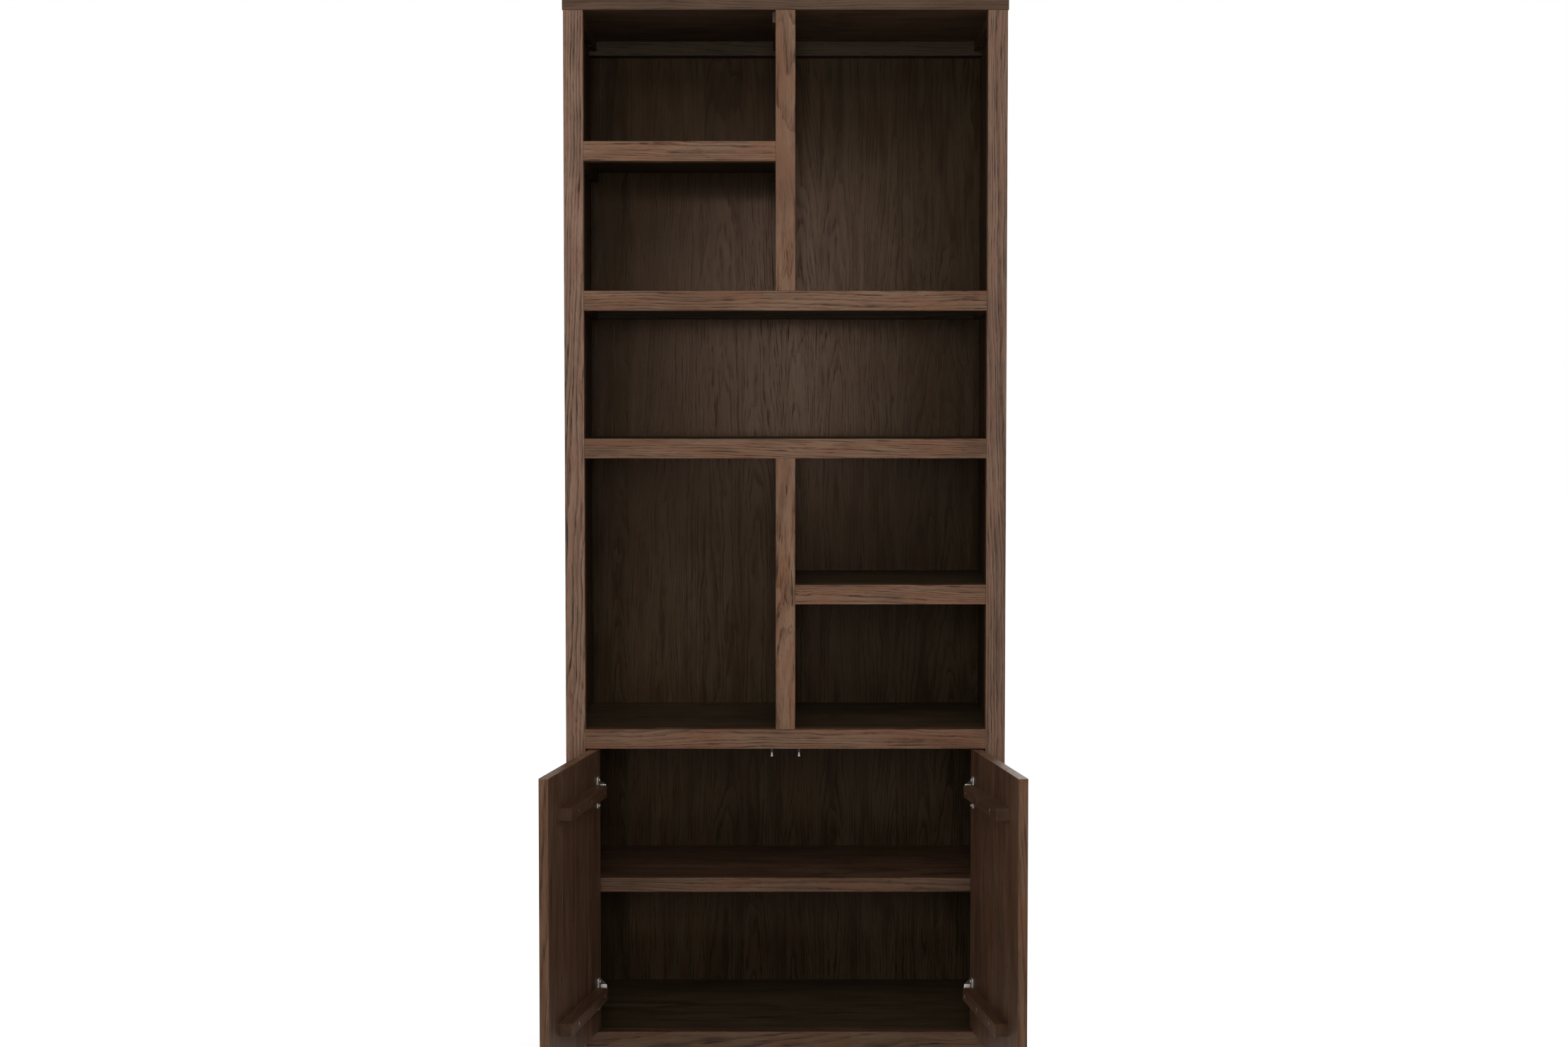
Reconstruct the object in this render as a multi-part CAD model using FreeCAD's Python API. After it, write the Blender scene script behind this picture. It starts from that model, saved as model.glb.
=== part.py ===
import FreeCAD, Part
import os
from FreeCAD import Vector

# A tall bookcase with six fixed boards, two dividers and a two-door cabinet at its foot.
# The carcass is thin panel with a 40 mm solid lipping on every front edge. The doors are
# stored open, as they stand when somebody is using the cabinet.
#
# Frame: +X to the right seen from the front, +Y to the back, +Z up. The origin is the middle
# of the carcass's footprint, on the floor, on the underside of the middle glide.

os.makedirs("parts", exist_ok=True)

# ---------------------------------------------------------------- driving dimensions, mm
WIDTH = 900.0               # over the side panels
DEPTH = 450.0               # front of the lippings to the back panel's outer face
HEIGHT = 2200.0             # floor to the top of the top board
EDGE = 40.0                 # visible width of every lipping, and thickness of the top board
LIPPING_DEPTH = 28.0        # how far a lipping reaches back
PANEL = 19.0                # side panels, dividers and shelf panels
BACK_PANEL = 8.0
BACK_REBATE = 10.0          # width of the rebate that the back panel sits in
TOP_OVERHANG = 2.0          # the top board runs this far past each side
NICHES = (263.5, 262.0, 260.5, 258.5, 257.0)    # clear heights between the boards, from the top down
DOOR_OPENING = 587.0        # clear height of the cabinet
ARRIS = 0.8                 # rounding of the visible edges
PLANK_BEVEL = 0.8           # small bevel along a door plank's edges

CLEAT_WIDTH = 17.0
CLEAT_SCREW_ROWS = (-110.0, 100.0)      # places of the screws along a cleat
TOP_RAIL_HEIGHT = 30.5      # back rail under the top board
BACK_RAIL_DEPTH = 40.0      # all back rails, front to back

PLINTH_SETBACK = 38.0       # lipping front to plinth front
GLIDE_HEIGHT = 3.0
GLIDE_RADIUS = 9.0
GLIDE_RIM = 1.2             # bevel round a glide's foot
GLIDE_BACK_Y = 190.0        # rear glides, under the side panels
NAIL_RADIUS = 1.0
NAIL_TIP = 18.0             # height of the nail's point above the floor

INNER_SHELF = 30.0          # thickness of the loose cabinet shelf
INNER_SHELF_TOP = 376.0     # its upper face above the floor
INNER_SHELF_SETBACK = 79.0  # its front edge behind the lippings
INNER_SHELF_GAP = 1.0

DOOR = 19.0                 # door thickness
DOOR_GAP = 3.0              # beside the doors and between them
DOOR_GAP_ENDS = 2.5         # above and below the doors
PLANKS = 4                  # vertical planks in a door
LEFT_OPEN = 99.5            # how far the left door stands open, degrees
RIGHT_OPEN = 98.25
BATTEN_HEIGHT = 25.0
BATTEN_PROUD = 26.0
BATTEN_FROM_HINGE = 46.5    # batten end to the door's hinge edge
BATTEN_FROM_FREE = 72.0     # batten end to the door's free edge
UPPER_BATTEN_Z = 575.5      # middle heights of the battens
LOWER_BATTEN_Z = 157.0
BATTEN_SCREWS = (20.0, 126.0, 232.0)    # from the batten's hinge end

HINGE_FROM_LOW = 78.0       # hinge middle to the door's bottom edge
HINGE_FROM_HIGH = 87.0      # and to its top edge
PIN_FROM_EDGE = 14.0        # hinge pin to the door's hinge edge
PIN_DEPTH = 10.0            # hinge pin behind the door's front face
PIN_RADIUS = 1.5
PIN_LENGTH = 29.8
PIN_CLEARANCE = 0.05        # round the pin in the arm
PIN_PRESS = 0.02            # round the pin in the cup's wall
CUP_FROM_EDGE = 21.5        # cup middle to the door's hinge edge
CUP_RADIUS = 17.5
CUP_DEPTH = 13.5
CUP_WALL = 1.0
FLANGE_LENGTH = 67.0
FLANGE_WIDTH = 13.0
FLANGE = 3.6                # flange height above the door
FLANGE_OFFSET = 5.5         # flange middle past the cup's middle
CUP_RIM = 1.2               # thickness of the cup's own rim
CUP_SCREW_SPACING = 52.0
PLATE_SCREW_SPACING = 32.0

STOP_FROM_MIDDLE = 28.0     # door stops under the cabinet top
STOP_COLLAR_RADIUS = 4.0
STOP_COLLAR_HEIGHT = 10.5
STOP_PIN_DROP = 19.0        # collar and pin head together

DOWEL_RADIUS = 4.0
DOWEL_LENGTH = 30.0
DOWEL_ROWS = (-150.0, 20.0, 180.0)      # places of the dowels, front to back
DOWEL_IN_SIDE = 11.0        # how far a dowel goes into a side panel
DOWEL_IN_DIVIDER = 9.0      # into a divider, from either side
DOWEL_IN_SHELF = 10.0       # into a shelf under a divider
FIT = 0.05                  # radial clearance of dowels and screws in their holes

# Screws, each as shank radius and length
CLEAT_SCREW = (2.0, 35.0)
BACK_SCREW = (1.75, 25.0)
BATTEN_SCREW = (2.0, 40.0)
CUP_SCREW = (1.75, 14.0)
PLATE_SCREW = (2.0, 16.0)
ARM_SCREW = (2.0, 15.0)

# Back panel screws: a row up each side, and two into the rear edge of each full-width board
BACK_SCREW_LOW = 100.0
BACK_SCREW_STEP = 285.0
BACK_SCREW_ROWS = 8
BACK_SCREW_X = 215.0

SHELF_PIN_RADIUS = 2.5
SHELF_PIN_IN_SIDE = 10.0
SHELF_PIN_REACH = 8.0       # how far a pin stands out of the side panel
SHELF_PIN_Y = (-96.0, 150.0)

# ---------------------------------------------------------------- places worked out from them
FRONT = -DEPTH / 2
REAR = DEPTH / 2
SIDE_FACE = WIDTH / 2 - PANEL           # inner face of the right side panel
OPENING_X = WIDTH / 2 - EDGE            # inner edge of the right side lipping
LIPPING_BACK = FRONT + LIPPING_DEPTH
BACK_FACE = REAR - BACK_PANEL           # front of the back panel
TOP_UNDER = HEIGHT - EDGE
CLEAT_HEIGHT = EDGE - PANEL             # a cleat ends level with the lipping


def board_top(count):
    """Upper face of the board that lies the given number of niches under the top board."""
    return TOP_UNDER - sum(NICHES[:count]) - (count - 1) * EDGE


UPPER_LEFT_TOP = board_top(1)
SECOND_TOP = board_top(2)
THIRD_TOP = board_top(3)
LOWER_RIGHT_TOP = board_top(4)
CABINET_TOP = board_top(5)
BOTTOM_TOP = CABINET_TOP - EDGE - DOOR_OPENING

nodes = {}      # node name to its list of solids
tools = {}      # node name to the list of solids cut out of it


# ---------------------------------------------------------------- shared shapes
def block(x, y, z):
    """Box from three (low, high) pairs."""
    return Part.makeBox(x[1] - x[0], y[1] - y[0], z[1] - z[0], Vector(x[0], y[0], z[0]))


def along(edge, axis):
    """True if a straight edge runs along the axis, 0 for X, 1 for Y, 2 for Z."""
    ends = [vertex.Point for vertex in edge.Vertexes]
    step = ends[1] - ends[0]
    return abs(step[axis]) > 0.999 * step.Length


def soften(shape, radius, chosen):
    """Round the edges that the test picks."""
    return shape.makeFillet(radius, [edge for edge in shape.Edges if chosen(edge)])


def soften_front(shape):
    """Round the front edges of a lipping, its ends too, so that two lippings meet in a fine groove."""
    return soften(shape, ARRIS, lambda edge: edge.CenterOfMass.y < FRONT + 0.01)


def turned(profile, point, direction):
    """Solid of revolution: (radius, distance) points, placed at a point and aimed along a direction."""
    points = [Vector(radius, 0, distance) for radius, distance in profile]
    face = Part.Face(Part.makePolygon(points + [points[0]]))
    solid = face.revolve(Vector(0, 0, 0), Vector(0, 0, 1), 360)
    solid.Placement = FreeCAD.Placement(point, FreeCAD.Rotation(Vector(0, 0, 1), direction))
    return solid


def rod(radius, length, point, direction):
    return Part.makeCylinder(radius, length, point, direction)


def prism(outline, low, high):
    """Solid between two heights from an outline of (x, y) points."""
    points = [Vector(x, y, low) for x, y in outline]
    return Part.Face(Part.makePolygon(points + [points[0]])).extrude(Vector(0, 0, high - low))


def screw_profile(radius, length, grow=0.0):
    """Countersunk screw from the middle of its head to its point, optionally grown into its hole."""
    head = 2 * radius
    shank = radius + grow
    return [(0, 0), (head + grow, 0), (shank, radius), (shank, length - radius), (0, length + grow)]


def add_screw(node, point, direction, size, through):
    """Countersunk screw with a cross recess, and its hole in each node that it goes through."""
    radius, length = size
    screw = turned(screw_profile(radius, length), point, direction)
    aim = FreeCAD.Placement(point, FreeCAD.Rotation(Vector(0, 0, 1), direction))
    width = 0.35 * radius
    recess = []
    for turn in (0, 90):
        slot = Part.makeBox(2 * radius, width, 0.6 * radius, Vector(-radius, -width / 2, 0))
        slot.rotate(Vector(0, 0, 0), Vector(0, 0, 1), turn)
        slot.Placement = aim.multiply(slot.Placement)
        recess.append(slot)
    nodes.setdefault(node, []).append(screw.cut(recess).Solids[0])
    for target in through:
        hole = turned(screw_profile(radius, length, FIT), point, direction)
        tools.setdefault(target, []).append(hole)


def add_dowel(point, direction, depth_first, first, second):
    """Dowel across the joint at point: depth_first of it lies in the node behind the point."""
    start = point - direction * depth_first
    nodes.setdefault("dowels", []).append(rod(DOWEL_RADIUS, DOWEL_LENGTH, start, direction))
    hole = rod(DOWEL_RADIUS + FIT, DOWEL_LENGTH + 1.0, start - direction * 0.5, direction)
    for target in (first, second):
        tools.setdefault(target, []).append(hole)


# ---------------------------------------------------------------- carcass
def side(name, sign):
    """Side panel with the rebate for the back panel, and its lipping."""
    outer = sign * WIDTH / 2
    x_panel = sorted((outer, sign * SIDE_FACE))
    x_lipping = sorted((outer, sign * OPENING_X))
    x_rebate = sorted((sign * SIDE_FACE, sign * (SIDE_FACE + BACK_REBATE)))
    panel = block(x_panel, (LIPPING_BACK, REAR), (GLIDE_HEIGHT, TOP_UNDER))
    rebate = block(x_rebate, (BACK_FACE, REAR), (GLIDE_HEIGHT, TOP_UNDER))
    nodes[name + "_side_panel"] = [panel.cut(rebate)]
    lipping = block(x_lipping, (FRONT, LIPPING_BACK), (GLIDE_HEIGHT, TOP_UNDER))
    nodes[name + "_side_lipping"] = [soften_front(lipping)]


def divider(name, low, lipping_high, panel_high):
    """Upright in the middle of the width. Its panel reaches up to the thin panel of the board above."""
    nodes[name] = [block((-PANEL / 2, PANEL / 2), (LIPPING_BACK, BACK_FACE), (low, panel_high))]
    lipping = block((-EDGE / 2, EDGE / 2), (FRONT, LIPPING_BACK), (low, lipping_high))
    nodes[name + "_lipping"] = [soften_front(lipping)]


def fixed_board(name, top, left, right):
    """Shelf panel and lipping between two uprights, each given as (node, panel face, lipping face)."""
    nodes[name] = [block((left[1], right[1]), (LIPPING_BACK, BACK_FACE), (top - PANEL, top))]
    lipping = block((left[2], right[2]), (FRONT, LIPPING_BACK), (top - EDGE, top))
    nodes[name + "_lipping"] = [soften_front(lipping)]
    for y in DOWEL_ROWS:
        for upright, face, sign in ((left[0], left[1], 1), (right[0], right[1], -1)):
            depth = DOWEL_IN_SIDE if "side" in upright else DOWEL_IN_DIVIDER
            add_dowel(Vector(face, y, top - PANEL / 2), Vector(sign, 0, 0), depth, upright, name)


def cleat(node, face, sign, top, board, rear=BACK_FACE - BACK_RAIL_DEPTH):
    """Batten under a board along an upright's face, with two screws up into the board."""
    x = sorted((face, face + sign * CLEAT_WIDTH))
    nodes.setdefault(node, []).append(block(x, (LIPPING_BACK, rear), (top - CLEAT_HEIGHT, top)))
    for y in CLEAT_SCREW_ROWS:
        point = Vector(face + sign * CLEAT_WIDTH / 2, y, top - CLEAT_HEIGHT)
        add_screw("cleat_screws", point, Vector(0, 0, 1), CLEAT_SCREW, (node, board))


LEFT_SIDE = ("left_side_panel", -SIDE_FACE, -OPENING_X)
RIGHT_SIDE = ("right_side_panel", SIDE_FACE, OPENING_X)

side("left", -1)
side("right", 1)
divider("upper_divider", SECOND_TOP, TOP_UNDER, TOP_UNDER)
divider("lower_divider", CABINET_TOP, THIRD_TOP - EDGE, THIRD_TOP - PANEL)

top = block((-WIDTH / 2 - TOP_OVERHANG, WIDTH / 2 + TOP_OVERHANG), (FRONT, REAR), (TOP_UNDER, HEIGHT))
nodes["top_board"] = [soften(top, 2 * ARRIS, lambda edge: edge.CenterOfMass.y < REAR - 0.01)]

fixed_board("upper_left_shelf", UPPER_LEFT_TOP, LEFT_SIDE, ("upper_divider", -PANEL / 2, -EDGE / 2))
fixed_board("second_shelf", SECOND_TOP, LEFT_SIDE, RIGHT_SIDE)
fixed_board("third_shelf", THIRD_TOP, LEFT_SIDE, RIGHT_SIDE)
fixed_board("lower_right_shelf", LOWER_RIGHT_TOP, ("lower_divider", PANEL / 2, EDGE / 2), RIGHT_SIDE)
fixed_board("cabinet_top", CABINET_TOP, LEFT_SIDE, RIGHT_SIDE)
fixed_board("bottom_board", BOTTOM_TOP, LEFT_SIDE, RIGHT_SIDE)

side_middle = WIDTH / 2 - PANEL / 2
tall_uprights = (("left_side_panel", -side_middle), ("right_side_panel", side_middle), ("upper_divider", 0.0))
for upright, x in tall_uprights:
    for y in DOWEL_ROWS:
        add_dowel(Vector(x, y, TOP_UNDER), Vector(0, 0, 1), DOWEL_IN_SIDE, upright, "top_board")
for y in DOWEL_ROWS:
    add_dowel(Vector(0, y, SECOND_TOP), Vector(0, 0, 1), DOWEL_IN_SHELF, "second_shelf", "upper_divider")
    add_dowel(Vector(0, y, CABINET_TOP), Vector(0, 0, 1), DOWEL_IN_SHELF, "cabinet_top", "lower_divider")

# Cleats: under the top board at both sides and left of the divider, and at both ends of every shelf.
# The two small shelves have no back rail, so their cleats reach the back panel.
WIDE_BOARDS = (("second_shelf", SECOND_TOP), ("third_shelf", THIRD_TOP), ("cabinet_top", CABINET_TOP))
for face, sign in ((-SIDE_FACE, 1), (SIDE_FACE, -1), (-PANEL / 2, -1)):
    cleat("top_cleats", face, sign, TOP_UNDER, "top_board")
for board, top_z in WIDE_BOARDS:
    cleat("shelf_cleats", -SIDE_FACE, 1, top_z - PANEL, board)
    cleat("shelf_cleats", SIDE_FACE, -1, top_z - PANEL, board)
for face, sign in ((-SIDE_FACE, 1), (-PANEL / 2, -1)):
    cleat("shelf_cleats", face, sign, UPPER_LEFT_TOP - PANEL, "upper_left_shelf", BACK_FACE)
for face, sign in ((PANEL / 2, 1), (SIDE_FACE, -1)):
    cleat("shelf_cleats", face, sign, LOWER_RIGHT_TOP - PANEL, "lower_right_shelf", BACK_FACE)

# Back rails: a deep one under the top board, in two lengths beside the divider, and a shallow
# one under each board that spans the whole width.
# Under the third shelf the lower divider stands in the way, so that rail is in two lengths too.
rail_y = (BACK_FACE - BACK_RAIL_DEPTH, BACK_FACE)
whole = (-SIDE_FACE, SIDE_FACE)
halves = ((-SIDE_FACE, -PANEL / 2), (PANEL / 2, SIDE_FACE))
nodes["top_back_rails"] = [block(x, rail_y, (TOP_UNDER - TOP_RAIL_HEIGHT, TOP_UNDER)) for x in halves]
nodes["shelf_back_rails"] = (
    [block(whole, rail_y, (top_z - EDGE, top_z - PANEL)) for top_z in (SECOND_TOP, CABINET_TOP)]
    + [block(x, rail_y, (THIRD_TOP - EDGE, THIRD_TOP - PANEL)) for x in halves])

back_x = SIDE_FACE + BACK_REBATE
nodes["back_panel"] = [block((-back_x, back_x), (BACK_FACE, REAR), (EDGE, TOP_UNDER))]
forward = Vector(0, -1, 0)
for step in range(BACK_SCREW_ROWS):
    z = BACK_SCREW_LOW + step * BACK_SCREW_STEP
    for sign, upright in ((-1, "left_side_panel"), (1, "right_side_panel")):
        point = Vector(sign * (SIDE_FACE + BACK_REBATE / 2), REAR, z)
        add_screw("back_panel_screws", point, forward, BACK_SCREW, ("back_panel", upright))
for board, top_z in WIDE_BOARDS + (("bottom_board", BOTTOM_TOP),):
    for x in (-BACK_SCREW_X, BACK_SCREW_X):
        point = Vector(x, REAR, top_z - PANEL / 2)
        add_screw("back_panel_screws", point, forward, BACK_SCREW, ("back_panel", board))

# ---------------------------------------------------------------- plinth and glides
BOTTOM_UNDER = BOTTOM_TOP - PANEL
plinth_z = (GLIDE_HEIGHT, BOTTOM_UNDER)
plinth_front = FRONT + PLINTH_SETBACK
front_plinth = block((-SIDE_FACE, SIDE_FACE), (plinth_front, plinth_front + PANEL), plinth_z)
nodes["front_plinth"] = [soften(front_plinth, ARRIS, lambda edge: along(edge, 0)
                                and edge.CenterOfMass.z < GLIDE_HEIGHT + 0.01
                                and edge.CenterOfMass.y < plinth_front + 0.01)]
nodes["back_plinth"] = [block((-SIDE_FACE, SIDE_FACE), (BACK_FACE - PANEL, BACK_FACE), plinth_z)]
nodes["middle_plinth_rail"] = [
    block((-PANEL / 2, PANEL / 2), (plinth_front + PANEL, BACK_FACE - PANEL), plinth_z)]


def glide(x, y, target):
    """Nail-on glide: a flat disc with a rounded rim and its nail."""
    disc = [(0, 0), (GLIDE_RADIUS - GLIDE_RIM, 0), (GLIDE_RADIUS, GLIDE_RIM), (GLIDE_RADIUS, GLIDE_HEIGHT),
            (NAIL_RADIUS, GLIDE_HEIGHT), (NAIL_RADIUS, NAIL_TIP - 2.0), (0, NAIL_TIP)]
    nodes.setdefault("glides", []).append(turned(disc, Vector(x, y, 0), Vector(0, 0, 1)))
    hole = rod(NAIL_RADIUS + FIT, NAIL_TIP + 1.0, Vector(x, y, 0), Vector(0, 0, 1))
    tools.setdefault(target, []).append(hole)


glide(0.0, 0.0, "middle_plinth_rail")
for sign, side_name in ((-1, "left"), (1, "right")):
    glide(sign * (OPENING_X + EDGE / 2), FRONT + LIPPING_DEPTH / 2, side_name + "_side_lipping")
    glide(sign * side_middle, GLIDE_BACK_Y, side_name + "_side_panel")

# ---------------------------------------------------------------- loose shelf in the cabinet
shelf_x = SIDE_FACE - INNER_SHELF_GAP
shelf_front = FRONT + INNER_SHELF_SETBACK
inner_shelf = block((-shelf_x, shelf_x), (shelf_front, BACK_FACE - 2 * INNER_SHELF_GAP),
                    (INNER_SHELF_TOP - INNER_SHELF, INNER_SHELF_TOP))
nodes["inner_shelf"] = [soften(inner_shelf, 1.5 * ARRIS, lambda edge: along(edge, 0)
                               and edge.CenterOfMass.y < shelf_front + 0.01)]
shelf_under = INNER_SHELF_TOP - INNER_SHELF
for sign, side_name in ((-1, "left"), (1, "right")):
    inward = Vector(-sign, 0, 0)
    plate_x = sorted((sign * SIDE_FACE, sign * (SIDE_FACE - 1.5)))
    for y in SHELF_PIN_Y:
        start = Vector(sign * (SIDE_FACE + SHELF_PIN_IN_SIDE), y, shelf_under - SHELF_PIN_RADIUS)
        pin = rod(SHELF_PIN_RADIUS, SHELF_PIN_IN_SIDE + SHELF_PIN_REACH, start, inward)
        plate = block(plate_x, (y - 5.0, y + 5.0), (shelf_under - 14.0, shelf_under))
        nodes.setdefault("shelf_pins", []).append(pin.fuse(plate).removeSplitter())
        hole = rod(SHELF_PIN_RADIUS + FIT, SHELF_PIN_IN_SIDE + 1.0, start - inward * 0.5, inward)
        tools.setdefault(side_name + "_side_panel", []).append(hole)

# ---------------------------------------------------------------- left door, closed
DOOR_WIDTH = (2 * OPENING_X - 3 * DOOR_GAP) / 2
DOOR_LOW = BOTTOM_TOP + DOOR_GAP_ENDS
DOOR_HIGH = CABINET_TOP - EDGE - DOOR_GAP_ENDS
HINGE_EDGE = -OPENING_X + DOOR_GAP
INNER_FACE = FRONT + DOOR
PIN_X = HINGE_EDGE + PIN_FROM_EDGE
PIN_Y = FRONT + PIN_DEPTH
CUP_X = HINGE_EDGE + CUP_FROM_EDGE
HINGE_HEIGHTS = (DOOR_LOW + HINGE_FROM_LOW, DOOR_HIGH - HINGE_FROM_HIGH)
GROOVE = 3.0                # half the width of the groove between planks
GROOVE_DEPTH = 5.2
TONGUE_PLAY = 0.1


def plank(number):
    """Vertical plank with a groove on the hinge side and a tongue on the free side."""
    width = DOOR_WIDTH / PLANKS
    low = HINGE_EDGE + number * width
    high = low + width
    middle = FRONT + DOOR / 2
    bevel = PLANK_BEVEL
    groove = []
    if number > 0:
        groove = [(low, middle + GROOVE), (low + GROOVE_DEPTH, middle + GROOVE),
                  (low + GROOVE_DEPTH, middle - GROOVE), (low, middle - GROOVE)]
    tongue = []
    if number < PLANKS - 1:
        reach = high + GROOVE_DEPTH - 2 * TONGUE_PLAY
        half = GROOVE - TONGUE_PLAY
        tongue = [(high, middle - half), (reach, middle - half),
                  (reach, middle + half), (high, middle + half)]
    outline = ([(low + bevel, FRONT), (high - bevel, FRONT), (high, FRONT + bevel)] + tongue
               + [(high, INNER_FACE - bevel), (high - bevel, INNER_FACE), (low + bevel, INNER_FACE),
                  (low, INNER_FACE - bevel)] + groove + [(low, FRONT + bevel)])
    return prism(outline, DOOR_LOW, DOOR_HIGH)


for number in range(PLANKS):
    nodes["door_plank_%d" % (number + 1)] = [plank(number)]

batten_low = HINGE_EDGE + BATTEN_FROM_HINGE
batten_high = HINGE_EDGE + DOOR_WIDTH - BATTEN_FROM_FREE
for name, height in (("upper_batten", UPPER_BATTEN_Z), ("lower_batten", LOWER_BATTEN_Z)):
    batten = block((batten_low, batten_high), (INNER_FACE, INNER_FACE + BATTEN_PROUD),
                   (height - BATTEN_HEIGHT / 2, height + BATTEN_HEIGHT / 2))
    nodes["door_" + name] = [soften(batten, 2 * ARRIS, lambda edge: edge.CenterOfMass.y > INNER_FACE + 0.01)]
    for offset in BATTEN_SCREWS:
        point = Vector(batten_low + offset, INNER_FACE + BATTEN_PROUD, height)
        planks = ["door_plank_%d" % (count + 1) for count in range(PLANKS)]
        add_screw("door_screws", point, forward, BATTEN_SCREW, ["door_" + name] + planks)

# Cup hinges. The pin is held in the cup's wall, and the arm's barrel turns round it. The arm leaves
# the barrel sideways inside the cup before it turns back, so it clears the door at every angle.
FLANGE_X = CUP_X + FLANGE_OFFSET
CUP_INSIDE = CUP_RADIUS - CUP_WALL
NECK_X = (PIN_X + 14.5, PIN_X + 22.0)
BARREL_RADIUS = 3.0
ARM_HALF = 6.0              # half the height of the arm at the cup
ARM_BODY_HALF = 12.0
ARM_TOP_X = PIN_X + 26.0
PLATE_TOP_X = -OPENING_X + 10.0
WING_TOP_X = -OPENING_X + 2.5
ARM_FRONT_Y = FRONT + 27.0
ARM_TAIL_Y = FRONT + 100.0
ARM_SEAT_X = PLATE_TOP_X + 10.0

for height in HINGE_HEIGHTS:
    facing = Vector(0, 1, 0)
    mouth = Vector(CUP_X, INNER_FACE, height)
    bore_start = mouth - facing * CUP_DEPTH
    cup = rod(CUP_RADIUS, CUP_DEPTH, bore_start, facing)
    flange_half = (FLANGE_LENGTH - FLANGE_WIDTH) / 2
    flange_ends = (height - flange_half, height + flange_half)
    flange_x = (FLANGE_X - FLANGE_WIDTH / 2, FLANGE_X + FLANGE_WIDTH / 2)
    strip = block(flange_x, (INNER_FACE, INNER_FACE + FLANGE), flange_ends)
    ends = [rod(FLANGE_WIDTH / 2, FLANGE, Vector(FLANGE_X, INNER_FACE, z), facing) for z in flange_ends]
    rim = rod(CUP_RADIUS + 1.5, CUP_RIM, mouth, facing)
    hollow = rod(CUP_INSIDE, CUP_DEPTH + FLANGE, bore_start + facing * CUP_WALL, facing)
    pin_start = Vector(PIN_X, PIN_Y, height - PIN_LENGTH / 2)
    pin_hole = rod(PIN_RADIUS + PIN_PRESS, PIN_LENGTH, pin_start, Vector(0, 0, 1))
    cup = cup.fuse([strip, rim] + ends).removeSplitter().cut([hollow, pin_hole])
    nodes.setdefault("hinge_cups", []).append(cup.Solids[0])
    nodes.setdefault("hinge_pins", []).append(rod(PIN_RADIUS, PIN_LENGTH, pin_start, Vector(0, 0, 1)))
    cup_bore = rod(CUP_RADIUS + FIT, CUP_DEPTH + FIT, bore_start - facing * FIT, facing)
    tools.setdefault("door_plank_1", []).append(cup_bore)
    for shift in (-CUP_SCREW_SPACING / 2, CUP_SCREW_SPACING / 2):
        point = Vector(FLANGE_X, INNER_FACE + FLANGE, height + shift)
        add_screw("door_screws", point, forward, CUP_SCREW, ("hinge_cups", "door_plank_1"))

    # Arm: barrel and crooked neck inside the cup, then the cranked body down to its seat on the plate.
    neck = [(PIN_X, PIN_Y - BARREL_RADIUS), (NECK_X[1] - 3, PIN_Y - BARREL_RADIUS), (NECK_X[1], PIN_Y),
            (NECK_X[1], ARM_FRONT_Y + 4), (NECK_X[0], ARM_FRONT_Y + 4), (NECK_X[0], PIN_Y + BARREL_RADIUS),
            (PIN_X, PIN_Y + BARREL_RADIUS)]
    body = [(NECK_X[0], ARM_FRONT_Y), (NECK_X[1], ARM_FRONT_Y), (ARM_TOP_X, ARM_FRONT_Y + 8),
            (ARM_TOP_X, ARM_FRONT_Y + 36), (ARM_SEAT_X, ARM_TAIL_Y - 20), (ARM_SEAT_X, ARM_TAIL_Y),
            (PLATE_TOP_X, ARM_TAIL_Y), (PLATE_TOP_X, ARM_FRONT_Y + 12)]
    barrel = rod(BARREL_RADIUS, 2 * ARM_HALF, Vector(PIN_X, PIN_Y, height - ARM_HALF), Vector(0, 0, 1))
    arm = prism(neck, height - ARM_HALF, height + ARM_HALF).fuse(
        [barrel, prism(body, height - ARM_BODY_HALF, height + ARM_BODY_HALF)]).removeSplitter()
    bore = rod(PIN_RADIUS + PIN_CLEARANCE, 40.0, Vector(PIN_X, PIN_Y, height - 20.0), Vector(0, 0, 1))
    nodes.setdefault("hinge_arms", []).append(arm.cut(bore).Solids[0])

    # Mounting plate: a spine under the arm and two wings, screwed to a block beside the side panel.
    spine = block((-OPENING_X, PLATE_TOP_X), (ARM_FRONT_Y + 10, ARM_TAIL_Y + 2), (height - 7.0, height + 7.0))
    wing_y = ARM_FRONT_Y + 38
    wings = block((-OPENING_X, WING_TOP_X), (wing_y - 9, wing_y + 9), (height - 25.0, height + 25.0))
    nodes.setdefault("hinge_plates", []).append(spine.fuse(wings).removeSplitter())
    outward = Vector(-1, 0, 0)
    for shift in (-PLATE_SCREW_SPACING / 2, PLATE_SCREW_SPACING / 2):
        point = Vector(WING_TOP_X, wing_y, height + shift)
        add_screw("hinge_screws", point, outward, PLATE_SCREW, ("hinge_plates", "hinge_blocks"))
    point = Vector(ARM_SEAT_X, ARM_TAIL_Y - 10, height)
    add_screw("hinge_screws", point, outward, ARM_SCREW, ("hinge_arms", "hinge_plates"))
    nodes.setdefault("hinge_blocks", []).append(
        block((-SIDE_FACE, -OPENING_X), (LIPPING_BACK, ARM_TAIL_Y + 10), (height - 40.0, height + 40.0)))


# ---------------------------------------------------------------- both doors and both sets of hinges
def finish(name):
    """Solids of a node with its holes cut."""
    cutters = tools.get(name, [])
    solids = []
    for solid in nodes[name]:
        near = [cutter for cutter in cutters if cutter.BoundBox.intersect(solid.BoundBox)]
        result = solid.cut(near) if near else solid
        solids.extend(result.Solids)
    return solids


def to_right(solid):
    return solid.mirror(Vector(0, 0, 0), Vector(1, 0, 0))


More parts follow.
